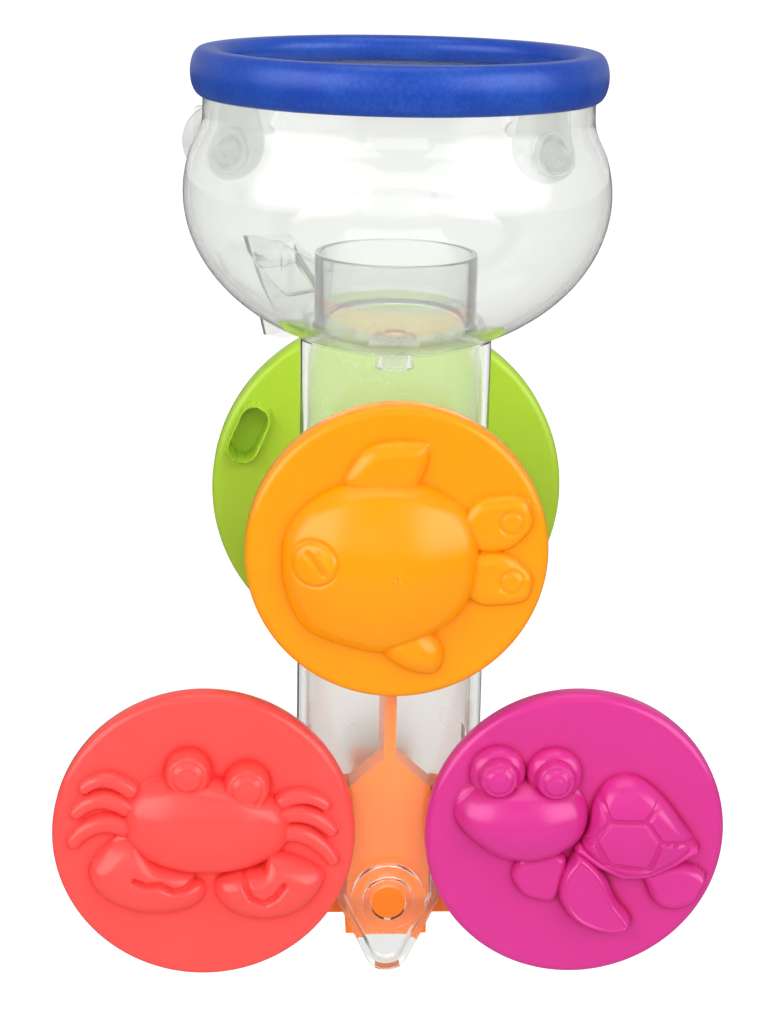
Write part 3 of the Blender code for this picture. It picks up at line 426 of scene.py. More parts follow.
TOWER_HALF_WIDTH = 28.8
TOWER_HALF_DEPTH = 22.0
TOWER_CORNER = 14.0
TOWER_WALL = 2.0
TOWER_BOTTOM = 1.5
SEAM_GAP = 0.15
WINDOW_HALF_DEPTH = 13.0
WINDOW_TOP = 30.0
TONGUE_HALF_WIDTH = 15.8
TONGUE_SHOULDER = -16.0
TONGUE_TIP = -40.0
TONGUE_TIP_RADIUS = 7.0
TONGUE_BACK = -14.6
FLANGE_TOP = 2.5
BOSS_HEIGHT = -14.7
BOSS_RADII = (11.6, 8.1)
BOSS_FRONTS = (-24.6, -26.6)
PEG_HOLE = 5.6
AXLE_HEIGHT = 102.91
AXLE_HOLE = 3.3
AXLE_BOSS = 7.0
AXLE_BOSS_RISE = 4.0
NOTCH_HALF_WIDTH = 10.3
NOTCH_TOP = 6.3
SCREW_OFFSET = 16.0
SCREW_HEIGHT = 5.2
SCREW_HOLE = 1.8


def tower_path(inset, side):
    """Half of the rounded section from the left seam to the right: straight, quarter circle, flat, and back.

    Steps crowd together where a window or the tongue begins, so that an edge can drop almost straight down.
    """
    window = degrees(np.arcsin((WINDOW_HALF_DEPTH - TOWER_HALF_DEPTH + TOWER_CORNER) / TOWER_CORNER))
    tongue = degrees(acos((TONGUE_HALF_WIDTH - TOWER_HALF_WIDTH + TOWER_CORNER) / TOWER_CORNER))
    step = 0.15
    turns = [
        np.linspace(0, window, 10), np.linspace(window + step, tongue, 24), np.linspace(tongue + step, 90, 4)]
    angle = np.radians(np.concatenate(turns))
    across = TOWER_HALF_WIDTH - TOWER_CORNER
    deep = TOWER_HALF_DEPTH - TOWER_CORNER
    corner_x = across + (TOWER_CORNER - inset) * np.cos(angle)
    corner_depth = deep + (TOWER_CORNER - inset) * np.sin(angle)
    seam_depth = np.linspace(SEAM_GAP, deep, 4)[:-1]
    seam_x = np.full_like(seam_depth, TOWER_HALF_WIDTH - inset)
    flat_x = np.linspace(across, -across, 140)[1:-1]
    flat_depth = np.full_like(flat_x, TOWER_HALF_DEPTH - inset)
    x = np.concatenate([seam_x, corner_x, flat_x, -corner_x[::-1], -seam_x[::-1]])
    depth = np.concatenate([seam_depth, corner_depth, flat_depth, corner_depth[::-1], seam_depth[::-1]])
    return -x, side * depth


def tongue_outline(inset):
    """The tongue's edge as (x, height): down the left side, round the tip and up the right side."""
    half = TONGUE_HALF_WIDTH - inset
    radius = TONGUE_TIP_RADIUS - inset
    middle = TONGUE_TIP + TONGUE_TIP_RADIUS
    rise = TONGUE_SHOULDER - middle
    lean = acos(radius / sqrt(half ** 2 + rise ** 2)) - atan2(rise, half)
    angle = np.linspace(-pi + lean, -lean, 25)
    tip = np.column_stack([radius * np.cos(angle), middle + radius * np.sin(angle)])
    left = [(-half, FLANGE_TOP), (-half, TONGUE_SHOULDER)]
    right = [(half, TONGUE_SHOULDER), (half, FLANGE_TOP)]
    return np.concatenate([left, tip, right])


def tower_shell(name, side, has_tongue):
    """A half shell: the section path carried up from its lower edge to the bowl, with a wall's thickness."""
    outside = tower_path(0.0, side)
    inside = tower_path(TOWER_WALL, side)
    low = np.where(np.abs(outside[1]) <= WINDOW_HALF_DEPTH, WINDOW_TOP, TOWER_BOTTOM)
    if has_tongue:
        edge_x, edge_height = tongue_outline(0.0)[1:-1].T
        on_tongue = np.abs(outside[0]) <= TONGUE_HALF_WIDTH
        low = np.where(on_tongue, np.interp(outside[0], edge_x, edge_height), low)
    levels = np.concatenate([
        np.linspace(TONGUE_TIP, TOWER_BOTTOM, 20), np.linspace(TOWER_BOTTOM, WINDOW_TOP, 8)[1:],
        np.linspace(WINDOW_TOP, 150, 24)[1:], np.linspace(150, 176, 30)[1:]])[:, None]
    walls = []
    for x, depth in (outside, inside):
        top = belly_height(-WELD_GAP, np.hypot(x, depth))
        walls.append(at(x, depth, np.clip(levels, low, top)))
    ends = [np.stack([walls[0][:, column], walls[1][:, column]], axis=1) for column in (0, -1)]
    closed_wall = sheet(np.vstack([walls[0], walls[1][::-1]]), wrap_rows=True)
    shell = piece(name, closed_wall, *[sheet(end) for end in ends])
    face = side * TOWER_HALF_DEPTH
    boss_end = face + side * AXLE_BOSS_RISE
    boss = [
        (AXLE_HOLE - 1, face - side), (AXLE_HOLE - 1, boss_end), (AXLE_BOSS - 0.6, boss_end),
        (AXLE_BOSS, boss_end - 0.6 * side), (AXLE_BOSS, face - side)]
    carve(shell, "UNION", sheet(facing(boss, 0.0, AXLE_HEIGHT), True, True))
    hole_ends = [(AXLE_HOLE, face - 6), (AXLE_HOLE, face + 6)]
    carve(shell, "DIFFERENCE", swept(facing(hole_ends, 0.0, AXLE_HEIGHT)))
    return shell


front_shell = tower_shell("clear_tower_front", -1.0, True)
flange_front = TOWER_WALL / 2 - TOWER_HALF_DEPTH
outer_x, outer_height = tongue_outline(0.1).T
inner_x, inner_height = tongue_outline(TOWER_WALL).T
flange_loops = np.stack([
    at(outer_x, flange_front, outer_height), at(outer_x, TONGUE_BACK, outer_height),
    at(inner_x, TONGUE_BACK, inner_height), at(inner_x, flange_front, inner_height)], axis=1)
carve(front_shell, "UNION", swept(flange_loops))
wide_step, narrow_step = zip(BOSS_RADII, BOSS_FRONTS)
ring_corners = [
    (PEG_HOLE - 1, flange_front, 0), (PEG_HOLE - 1, narrow_step[1], 0), (*narrow_step, 0.7),
    (narrow_step[0], wide_step[1], 0.5), (*wide_step, 0.7), (wide_step[0], flange_front, 0)]
carve(front_shell, "UNION", sheet(facing(rounded(ring_corners), 0.0, BOSS_HEIGHT, 96), True, True))
carve(front_shell, "DIFFERENCE", swept(facing([(PEG_HOLE, -30), (PEG_HOLE, -18)], 0.0, BOSS_HEIGHT, 96)))
tower_styrene = styrene("clear_tower_styrene", "#fcfdfb", 0.985, 0.02, 0.07)
dress(front_shell, tower_styrene, "stand", "clear_plastic", "tower_front_shell")


def box_outline(x0, x1, z0, z1):
    """The four corners of an upright rectangle."""
    return [(x0, z0), (x1, z0), (x1, z1), (x0, z1)]


# The back half has a notch for the base's bracket and two screw holes. Its satin skin blurs what lies behind
satin_styrene = styrene("satin_moulded_styrene", "#fcfdfb", 0.89, 0.26, 0.34)
back_shell = tower_shell("clear_tower_back", 1.0, False)
notch = box_outline(-NOTCH_HALF_WIDTH, NOTCH_HALF_WIDTH, -NOTCH_TOP, NOTCH_TOP)
carve(back_shell, "DIFFERENCE", prism(notch, TOWER_HALF_DEPTH - 4, TOWER_HALF_DEPTH + 4))
for hand in (-1, 1):
    hole_ends = [(SCREW_HOLE, TOWER_HALF_DEPTH - 4), (SCREW_HOLE, TOWER_HALF_DEPTH + 4)]
    carve(back_shell, "DIFFERENCE", swept(facing(hole_ends, hand * SCREW_OFFSET, SCREW_HEIGHT)))
dress(back_shell, satin_styrene, "stand", "clear_plastic", "tower_back_shell")


# Base
# One orange polypropylene moulding: a gabled face and a thin rib that part the water inside the tower, a
# column, floor and foot below, two arms for the lower wheels, a bracket for the bottom cup and a front peg.

RIB_HALF = 1.75
RIB_TOP = 70.9
ROOF_TOP = 32.5
ROOF_EAVE = 21.4
ROOF_DEPTH = 10.0
FACE_BOTTOM = -15.5
COLUMN_HALF_WIDTH = 12.8
COLUMN_TOP = 9.0
COLUMN_FRONT = -14.3
COLUMN_BACK = 19.7
FLOOR_HALF_WIDTH = 20.5
FLOOR_BOTTOM = -4.0
CORE_INSET = 2.3
FOOT_TOP = -17.0
FOOT_BOTTOM = -31.0
FOOT_HALF_WIDTH = 22.0
LOWER_OFFSET = 57.2
LOWER_HEIGHT = 9.8
ARM_THICKNESS = 8.0
ARM_END = 9.0
ARM_ROOT_BOTTOM = -6.0
ARM_ROOT_TOP = 12.0
PIN_HOLE = 2.8
BRACKET_GAP = 7.2
BRACKET_HALF_WIDTH = 10.0
BRACKET_HALF_HEIGHT = 6.0
PEG_RADIUS = 5.3
PEG_FRONT = -25.6


def moulded(name, main, shade, roughness, translucence, crease_shade_strength=0.5):
    """Moulded plastic in one colour.

    It gives an even, slightly waxy colour that light enters a little way, with faint flow clouds about
    18 mm across, a satin skin about 0.9 mm from bump to bump and duller patches where it is handled. In
    creases the colour is painted deeper and darker: painted shade, standing in for light that bounces from
    plastic to plastic there.
    """
    made, tree, output, place = new_material(name)
    flow = node(tree, "ShaderNodeTexNoise", {}, {
        "Vector": place, "Scale": 1 / (18 * MM), "Detail": 4.0, "Roughness": 0.6, "Distortion": 0.6})
    skin = node(tree, "ShaderNodeTexNoise", {}, {"Vector": place, "Scale": 1 / (0.9 * MM), "Detail": 2.0})
    colour = node(tree, "ShaderNodeMix", {"data_type": "RGBA"}, {
        "Factor": flow.outputs["Fac"], 6: linear(shade), 7: linear(main)})
    # Painted shade: where the crease attribute is high, the colour is multiplied towards a darker, deeper
    # tone
    crease = node(tree, "ShaderNodeAttribute", {"attribute_name": "crease"}, {})
    crease_shade_colour = np.array(linear(main)) / max(linear(main)[:3]) * 0.7
    crease_shade_amount = node(tree, "ShaderNodeMath", {"operation": "MULTIPLY"}, {
        0: crease.outputs["Fac"], 1: crease_shade_strength})
    colour = node(tree, "ShaderNodeMix", {"data_type": "RGBA", "blend_type": "MULTIPLY"}, {
        "Factor": crease_shade_amount.outputs["Value"], 6: colour.outputs[2], 7: (*crease_shade_colour[:3], 1.0)})
    worn = node(tree, "ShaderNodeMapRange", {}, {
        "Value": flow.outputs["Fac"], "To Min": roughness + 0.06, "To Max": roughness - 0.06})
    satin = node(tree, "ShaderNodeBump", {}, {
        "Height": skin.outputs["Fac"], "Strength": 0.1, "Distance": 0.05 * MM})
    shader = node(tree, "ShaderNodeBsdfPrincipled", {}, {
        "Base Color": colour.outputs[2], "Roughness": worn.outputs["Result"],
        "IOR": 1.49, "Specular IOR Level": 0.35,
        "Subsurface Weight": translucence, "Subsurface Radius": (1.0, 0.7, 0.6), "Subsurface Scale": 2.0 * MM,
        "Normal": satin.outputs["Normal"]})
    tree.links.new(shader.outputs["BSDF"], output.inputs["Surface"])
    return made


orange_plastic = moulded("orange_moulded_polypropylene", "#ff8218", "#ff7814", 0.34, 0.4)

face_outline = [
    (0.0, ROOF_TOP), (-COLUMN_HALF_WIDTH, ROOF_EAVE), (-COLUMN_HALF_WIDTH, FACE_BOTTOM),
    (COLUMN_HALF_WIDTH, FACE_BOTTOM), (COLUMN_HALF_WIDTH, ROOF_EAVE)]
base = piece("orange_splitter_base", prism(face_outline, -COLUMN_BACK, ROOF_DEPTH - COLUMN_BACK))
column_outline = box_outline(-COLUMN_HALF_WIDTH, COLUMN_HALF_WIDTH, FOOT_BOTTOM, COLUMN_TOP)
carve(base, "UNION", prism(column_outline, COLUMN_FRONT, COLUMN_BACK))
rib_outline = box_outline(-RIB_HALF, RIB_HALF, COLUMN_TOP - 1, RIB_TOP)
carve(base, "UNION", prism(rib_outline, -COLUMN_BACK, COLUMN_BACK))
core_x, core_depth = tower_path(CORE_INSET, 1.0)
under_floor = np.abs(core_x) <= FLOOR_HALF_WIDTH
floor_x = np.append([-FLOOR_HALF_WIDTH, FLOOR_HALF_WIDTH], core_x[under_floor][::-1])
floor_depth = np.append([0.0, 0.0], core_depth[under_floor][::-1])
floor_loops = [at(floor_x, floor_depth, height) for height in (FLOOR_BOTTOM, COLUMN_TOP)]
carve(base, "UNION", swept(np.stack(floor_loops)))
foot_outline = [
    (-COLUMN_HALF_WIDTH + 1, FOOT_TOP), (-FOOT_HALF_WIDTH, FOOT_BOTTOM), (FOOT_HALF_WIDTH, FOOT_BOTTOM),
    (COLUMN_HALF_WIDTH - 1, FOOT_TOP)]
carve(base, "UNION", prism(foot_outline, 0.0, COLUMN_BACK))
turn = np.radians(np.linspace(75, -105, 25))
for hand in (-1, 1):
    end_x = LOWER_OFFSET + ARM_END * np.cos(turn)
    end_z = LOWER_HEIGHT + ARM_END * np.sin(turn)
    arm_x = hand * np.append([1.0, 1.0], end_x)
    arm_z = np.append([ARM_ROOT_BOTTOM, ARM_ROOT_TOP], end_z)
    carve(base, "UNION", prism(np.column_stack([arm_x, arm_z]), 0.0, ARM_THICKNESS))
    side_ends = sorted((hand * BRACKET_GAP, hand * BRACKET_HALF_WIDTH))
    side_outline = box_outline(*side_ends, -BRACKET_HALF_HEIGHT, BRACKET_HALF_HEIGHT)
    carve(base, "UNION", prism(side_outline, COLUMN_BACK - 1, EAR_BACK))
plate_half = BRACKET_GAP + 0.8
plate_outline = box_outline(-plate_half, plate_half, -BRACKET_HALF_HEIGHT, BRACKET_HALF_HEIGHT)
carve(base, "UNION", prism(plate_outline, EAR_FRONT, EAR_BACK))
hole_ends = [(STEM_HOLE, EAR_FRONT - 2), (STEM_HOLE, EAR_BACK + 2)]
carve(base, "DIFFERENCE", swept(facing(hole_ends, 0.0, 0.0)))
for hand in (-1, 1):
    hole_ends = [(PIN_HOLE, -3.0), (PIN_HOLE, ARM_THICKNESS + 3)]
    carve(base, "DIFFERENCE", swept(facing(hole_ends, hand * LOWER_OFFSET, LOWER_HEIGHT)))
peg_root = COLUMN_FRONT + 1
peg_profile = [(0.0, peg_root), (PEG_RADIUS, peg_root), (PEG_RADIUS, PEG_FRONT), (0.0, PEG_FRONT)]
carve(base, "UNION", sheet(facing(peg_profile, 0.0, BOSS_HEIGHT), wrap_columns=True))
edge = base.modifiers.new("moulded_edges", "BEVEL")
edge.width = 0.5 * MM
edge.segments = 2
edge.limit_method = "ANGLE"
edge.angle_limit = radians(35)
edge.harden_normals = True
dress(base, orange_plastic, "stand", "orange_plastic", "splitter_base")


# Screws and pins
# Two small steel screws hold the back shell to the base, and a white acetal pin in each arm carries a lower
# wheel. The screws have a cross recess; the pins have a broad rounded head behind the arm.

SCREW_SEAT = 22.3
SCREW_LENGTH = 12.0
SCREW_RADIUS = 1.5
SCREW_HEAD = 3.0
SCREW_HEAD_RISE = 2.0
PIN_RADIUS = 2.5
PIN_FRONT = -28.1
PIN_SEAT = 8.3
PIN_HEAD = 5.0
PIN_HEAD_RISE = 2.3

# Zinc-plated steel: bright grey, with turning marks drawn as unevenness 0.6 mm across, coarse enough to show
plated_steel, tree, output, place = new_material("zinc_plated_steel")
marks = node(tree, "ShaderNodeTexNoise", {}, {"Vector": place, "Scale": 1 / (0.6 * MM), "Detail": 3.0})
shine = node(tree, "ShaderNodeMapRange", {}, {"Value": marks.outputs["Fac"], "To Min": 0.22, "To Max": 0.42})
grey = node(tree, "ShaderNodeMix", {"data_type": "RGBA"}, {
    "Factor": marks.outputs["Fac"], 6: linear("#a9abad"), 7: linear("#cfd1d2")})
turning = node(tree, "ShaderNodeBump", {}, {
    "Height": marks.outputs["Fac"], "Strength": 0.2, "Distance": 0.03 * MM})
shader = node(tree, "ShaderNodeBsdfPrincipled", {}, {
    "Base Color": grey.outputs[2], "Metallic": 1.0, "Roughness": shine.outputs["Result"],
    "Normal": turning.outputs["Normal"]})
tree.links.new(shader.outputs["BSDF"], output.inputs["Surface"])
white_acetal = moulded("white_moulded_acetal", "#f1f0ea", "#e6e5dd", 0.32, 0.15)

screw_tip = SCREW_SEAT - SCREW_LENGTH
head_top = SCREW_SEAT + SCREW_HEAD_RISE
shank = [
    (0.0, screw_tip, 0), (0.7, screw_tip, 0), (SCREW_RADIUS, screw_tip + 1.5, 0.3),
    (SCREW_RADIUS, SCREW_SEAT, 0.1)]
head = [
    (SCREW_HEAD, SCREW_SEAT, 0.2), (SCREW_HEAD, SCREW_SEAT + 0.9, 0.8), (1.8, head_top, 0.8),
    (0.0, head_top, 0)]
screw_profile = rounded(shank + head, closed=False)
for hand, word in ((-1, "left"), (1, "right")):
    screw_grid = facing(screw_profile, hand * SCREW_OFFSET, SCREW_HEIGHT, 48)
    screw = piece("base_screw_" + word + "_steel", sheet(screw_grid, wrap_columns=True))
    for wide, tall in ((1.7, 0.3), (0.3, 1.7)):
        x0 = hand * SCREW_OFFSET
        recess = box_outline(x0 - wide, x0 + wide, SCREW_HEIGHT - tall, SCREW_HEIGHT + tall)
        carve(screw, "DIFFERENCE", prism(recess, SCREW_SEAT + 1.0, SCREW_SEAT + 3))
    dress(screw, plated_steel, "stand", "steel", "base_screw_" + word)

pin_end = PIN_SEAT + PIN_HEAD_RISE
dimple = pin_end - 0.5
pin_corners = [
    (0.0, PIN_FRONT, 0), (PIN_RADIUS, PIN_FRONT, 0.5), (PIN_RADIUS, PIN_SEAT, 0.2), (PIN_HEAD, PIN_SEAT, 0.3),
    (PIN_HEAD, pin_end, 1.2), (1.2, pin_end, 0.3), (1.0, dimple, 0.2), (0.0, dimple, 0)]
for hand, animal in ((-1, "crab"), (1, "turtle")):
    pin_grid = facing(rounded(pin_corners, closed=False), hand * LOWER_OFFSET, LOWER_HEIGHT)
    pin = piece(animal + "_pin_acetal", sheet(pin_grid, wrap_columns=True))
    dress(pin, white_acetal, "stand", "white_plastic", animal + "_axle")
    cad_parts[animal + "_retainer"].material_slots[0].material = plated_steel


# Suction cups
# Three soft clear vinyl cups, each with a thin sealing lip on the wall, a waist that clips through an ear or
# the bracket, and a round knob in front with a small moulding dimple.

CUP_RADIUS = 12.5
CUP_HEIGHT = 16.7
CUP_STEM = 3.9
KNOB_RADIUS = 6.0
KNOB_BACK = 20.3
KNOB_FRONT = 23.8

# Soft clear vinyl: glassy but a touch milky, with a skin that wavers every 5 mm
soft_vinyl, tree, output, place = new_material("clear_soft_vinyl")
waver = node(tree, "ShaderNodeTexNoise", {}, {"Vector": place, "Scale": 1 / (5 * MM), "Detail": 2.0})
milky = node(tree, "ShaderNodeMapRange", {}, {"Value": waver.outputs["Fac"], "To Min": 0.04, "To Max": 0.14})
skin = node(tree, "ShaderNodeBump", {}, {
    "Height": waver.outputs["Fac"], "Strength": 0.15, "Distance": 0.3 * MM})
shader = node(tree, "ShaderNodeBsdfPrincipled", {}, {
    "Base Color": linear("#e1e3e2"), "Roughness": milky.outputs["Result"], "IOR": 1.53,
    "Transmission Weight": 0.94, "Normal": skin.outputs["Normal"]})
haze = node(tree, "ShaderNodeVolumeAbsorption", {}, {"Color": linear("#bcbebd"), "Density": 45.0})
tree.links.new(shader.outputs["BSDF"], output.inputs["Surface"])
tree.links.new(haze.outputs["Volume"], output.inputs["Volume"])

knob_corners = [
    (0.0, KNOB_FRONT - 0.9, 0), (0.8, KNOB_FRONT - 0.9, 0.3), (1.2, KNOB_FRONT, 0.4),
    (4.6, KNOB_FRONT - 0.2, 1.5), (KNOB_RADIUS, KNOB_FRONT - 1.8, 1.4), (KNOB_RADIUS - 0.5, KNOB_BACK, 0.5),
    (CUP_STEM, KNOB_BACK, 0.3)]
outside_corners = [
    (CUP_STEM, CUP_HEIGHT, 0.3), (KNOB_RADIUS, CUP_HEIGHT, 0.6), (KNOB_RADIUS, 11.4, 2.5), (9.4, 5.4, 4.0),
    (CUP_RADIUS, 1.0, 0.8)]
inside_corners = [
    (CUP_RADIUS, 0.0, 0.2), (11.2, 0.0, 0.3), (8.75, 2.3, 2.0), (5.0, 3.9, 2.0), (0.0, 4.65, 0)]
cup_profile = rounded(knob_corners + outside_corners + inside_corners, steps=6, closed=False)
cup_places = {"left": (-EAR_OFFSET, EAR_HEIGHT), "right": (EAR_OFFSET, EAR_HEIGHT), "bottom": (0.0, 0.0)}
for word, (x, height) in cup_places.items():
    cup_grid = facing(np.column_stack([cup_profile[:, 0], WALL_TO_AXIS - cup_profile[:, 1]]), x, height, 72)
    cup = piece("vinyl_cup_" + word, sheet(cup_grid, wrap_columns=True))
    dress(cup, soft_vinyl, "stand", "clear_soft_vinyl", "suction_cup_" + word)


# Main axle and rotor
# A white acetal axle runs through the tower. A six-vaned rotor inside the tower drives it, and a cap pressed
# on behind the green wheel keeps everything together.

AXLE_RADIUS = 3.0
ROTOR_RADIUS = 22.0
ROTOR_HALF_LENGTH = 13.5
HUB_RADIUS = 7.0
CAP_SEAT = 41.3
CAP_LENGTH = 5.5


def vane_wheel(vanes, thickness, bore, x, height, stations):
    """A hub with straight vanes: a star outline and its bore carried along depth.

    Stations are (depth, vane reach) pairs, so that the vanes can stop short of the hub's ends. Every outline
    point is paired with the bore point at its own angle, which closes both ends with rings.
    """
    spread = 2 * pi / vanes
    root = np.arcsin(thickness / 2 / HUB_RADIUS)
    between = np.linspace(root, spread - root, 9)[1:-1]
    outlines = []
    bores = []
    for depth, reach in stations:
        tip = np.arcsin(thickness / 2 / reach)
        angle = np.concatenate([[-root, -tip, 0.0, tip, root], between])
        vane = [HUB_RADIUS, reach - 0.3, reach, reach - 0.3, HUB_RADIUS]
        length = np.tile(np.concatenate([vane, 0 * between + HUB_RADIUS]), vanes)
        turn = (angle + spread * np.arange(vanes)[:, None]).ravel()
        outlines.append(at(x + length * np.cos(turn), depth, height + length * np.sin(turn)))
        bores.append(at(x + bore * np.cos(turn), depth, height + bore * np.sin(turn)))
    rows = [bores[0], *outlines, bores[-1]]
    return sheet(np.stack(rows), wrap_rows=True, wrap_columns=True)


rotor_ends = [(-ROTOR_HALF_LENGTH, ROTOR_RADIUS), (ROTOR_HALF_LENGTH, ROTOR_RADIUS)]
rotor = piece("acetal_rotor", vane_wheel(6, 2.0, AXLE_HOLE, 0.0, AXLE_HEIGHT, rotor_ends))
dress(rotor, white_acetal, "main_wheel", "white_plastic", "tower_rotor")
cap_corners = [
    (0.0, CAP_SEAT + 4, 0), (AXLE_HOLE, CAP_SEAT + 4, 0), (AXLE_HOLE, CAP_SEAT, 0.2), (6.0, CAP_SEAT, 0.3),
    (6.0, CAP_SEAT + CAP_LENGTH, 1.6), (0.0, CAP_SEAT + CAP_LENGTH, 0)]
cap_grid = facing(rounded(cap_corners, closed=False), 0.0, AXLE_HEIGHT)
cap = piece("acetal_axle_cap", sheet(cap_grid, wrap_columns=True))
dress(cap, white_acetal, "main_wheel", "white_plastic", "axle_cap")
axle_low, axle_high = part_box("main_axle")
axle_front = axle_low[1] / MM + WALL_TO_AXIS
axle_back = axle_high[1] / MM + WALL_TO_AXIS
axle_corners = [
    (0.0, axle_front, 0), (AXLE_RADIUS, axle_front, 0.5), (AXLE_RADIUS, axle_back, 0.5), (0.0, axle_back, 0)]
axle_grid = facing(rounded(axle_corners, closed=False), 0.0, AXLE_HEIGHT)
axle = piece("acetal_main_axle", sheet(axle_grid, wrap_columns=True))
dress(axle, white_acetal, "main_wheel", "white_plastic", "main_axle")


# Green wheel
# A lime polypropylene dish on the back end of the axle, with a rounded edge, a skirt behind and two deep
# scoops near the rim that catch the stream from the side spout.

GREEN_RADIUS = 56.8
GREEN_DEPTH = 31.0
GREEN_THICKNESS = 8.0
WHEEL_FACE = 2.4
WHEEL_SKIRT = 2.2
WHEEL_ROUND = 2.8
SCOOP_RING = 48.9
SCOOP_ANGLE = 157.0
SCOOP_LENGTH = 17.8
SCOOP_WIDTH = 8.4
SCOOP_WALL = 1.4
SCOOP_RISE = 4.0
SCOOP_SINK = 5.0
HUB_LENGTH = 10.0
HUB_RISE = 4.0

lime_plastic = moulded("lime_moulded_polypropylene", "#aed139", "#a3c732", 0.3, 0.25)


def wheel_edge(radius, thickness):
    """Corners of a wheel's rounded front edge, skirt and face back: (radius, rise above the face, round)."""
    angle = np.radians(np.linspace(90, 0, 9))
    edge_radius = radius + WHEEL_ROUND * (np.cos(angle) - 1)
    edge = np.column_stack([edge_radius, WHEEL_ROUND * (np.sin(angle) - 1), 0 * angle])
    inner = radius - WHEEL_SKIRT
    return edge.tolist() + [(radius, -thickness, 0.6), (inner, -thickness, 0.6), (inner, -WHEEL_FACE, 1.0)]


def smooth_step(value, low, high):
    """Rises from 0 to 1 between two values along 3t^2 - 2t^3."""
    t = np.clip((value - low) / (high - low), 0, 1)
    return t * t * (3 - 2 * t)


def scoop_distance(x, y):
    """Distance from the nearer scoop's middle line, a straight stretch set along the rim."""
    straight = (SCOOP_LENGTH - SCOOP_WIDTH) / 2
    distance = []
    for angle in np.radians([SCOOP_ANGLE, SCOOP_ANGLE + 180]):
        outwards = x * np.cos(angle) + y * np.sin(angle) - SCOOP_RING
        along = y * np.cos(angle) - x * np.sin(angle)
        distance.append(np.hypot(outwards, np.maximum(np.abs(along) - straight, 0)))
    return np.minimum(*distance)


def disc(rings, sectors):
    """Local x and y of a polar grid."""
    angle = np.linspace(0, 2 * pi, sectors, endpoint=False)
    return rings[:, None] * np.cos(angle), rings[:, None] * np.sin(angle)


half_scoop = SCOOP_WIDTH / 2
# Rings lie close together where the scoops are
rings = np.concatenate([np.linspace(HUB_RADIUS, 41, 10), np.linspace(41.3, 53.9, 56)])
x, y = disc(rings, 480)
away = scoop_distance(x, y)
wall = 1 - smooth_step(away, half_scoop + SCOOP_WALL - 0.35, half_scoop + SCOOP_WALL + 0.25)
hollow = 1 - smooth_step(away, half_scoop - 0.3, half_scoop + 0.3)
front_face = at(x, GREEN_DEPTH - SCOOP_RISE * wall + (SCOOP_RISE + SCOOP_SINK) * hollow, AXLE_HEIGHT + y)
back_wall = 1 - smooth_step(away, half_scoop + SCOOP_WALL - 0.2, half_scoop + SCOOP_WALL + 0.4)
back_drop = WHEEL_FACE + (SCOOP_SINK + SCOOP_WALL - WHEEL_FACE) * back_wall
back_face = at(x, GREEN_DEPTH + back_drop, AXLE_HEIGHT + y)[::-1]
edge_rows = rounded(wheel_edge(GREEN_RADIUS, GREEN_THICKNESS), closed=False)[:-1]
edge_grid = facing(np.column_stack([edge_rows[:, 0], GREEN_DEPTH - edge_rows[:, 1]]), 0.0, AXLE_HEIGHT, 480)
hub_corners = [
    (HUB_RADIUS, GREEN_DEPTH + HUB_LENGTH, 0.5), (AXLE_HOLE, GREEN_DEPTH + HUB_LENGTH, 0.3),
    (AXLE_HOLE, GREEN_DEPTH - HUB_RISE, 0.3), (HUB_RADIUS, GREEN_DEPTH - HUB_RISE, 0.8)]
hub_grid = facing(rounded(hub_corners), 0.0, AXLE_HEIGHT, 480)
green_grid = np.vstack([front_face, edge_grid, back_face, hub_grid])
green_wheel = piece("lime_green_wheel", sheet(green_grid, wrap_rows=True, wrap_columns=True))
dress(green_wheel, lime_plastic, "main_wheel", "green_plastic", "green_wheel")


# Fish wheel
# A yellow-orange polypropylene disc on the front end of the axle, with a plump fish raised on its face: a
# round body, back fin, two tail lobes, belly fin and a ringed eye. The back is a skirt and a blind hub.

FISH_RADIUS = 45.0
FISH_DEPTH = -38.5
FISH_THICKNESS = 8.0
FISH_HUB_BACK = 9.0

fish_plastic = moulded("yellow_orange_moulded_polypropylene", "#ffa100", "#ff9900", 0.24, 0.2, 0.35)


def smooth_loop(points, steps=6):
    """A closed curve through points: a cubic whose slope at each is half the step between its neighbours."""
    here = np.asarray(points, float)
    before, after, beyond = (np.roll(here, shift, axis=0) for shift in (1, -1, -2))
    t = np.linspace(0, 1, steps, endpoint=False)[:, None, None]
    curve = here + (after - before) / 2 * t
    curve = curve + (before - 2.5 * here + 2 * after - beyond / 2) * t ** 2
    curve = curve + (1.5 * here - before / 2 - 1.5 * after + beyond / 2) * t ** 3
    return curve.transpose(1, 0, 2).reshape(-1, 2)


def line_distance(x, y, start, end):
    """Distance of every point from the nearest of several straight stretches."""
    way = end - start
    off_x = x[..., None] - start[:, 0]
    off_y = y[..., None] - start[:, 1]
    share = (off_x * way[:, 0] + off_y * way[:, 1]) / np.maximum((way ** 2).sum(axis=1), 1e-9)
    share = np.clip(share, 0, 1)
    return np.hypot(off_x - share * way[:, 0], off_y - share * way[:, 1]).min(axis=-1)


def pillow(x, y, points, edge):
    """A flat-topped form over a closed curve: sqrt(1 - (1 - d/edge)^2), d being the depth inside the curve.

    A point lies inside if a line from it crosses an odd number of the curve's edges.
    """
    start = smooth_loop(points)
    end = np.roll(start, -1, axis=0)
    height = np.zeros_like(x)
    low, high = start.min(axis=0), start.max(axis=0)
    near = (x > low[0]) & (x < high[0]) & (y > low[1]) & (y < high[1])
    px, py = x[near], y[near]
    spans = (start[:, 1] > py[:, None]) != (end[:, 1] > py[:, None])
    slope = (end[:, 0] - start[:, 0]) / np.where(end[:, 1] == start[:, 1], 1e-9, end[:, 1] - start[:, 1])
    crossed = spans & (px[:, None] < slope * (py[:, None] - start[:, 1]) + start[:, 0])
    inside = crossed.sum(axis=1) % 2 == 1
    depth = np.where(inside, line_distance(px, py, start, end), 0)
    height[near] = np.sqrt(1 - (1 - np.clip(depth / edge, 0, 1)) ** 2)
    return height


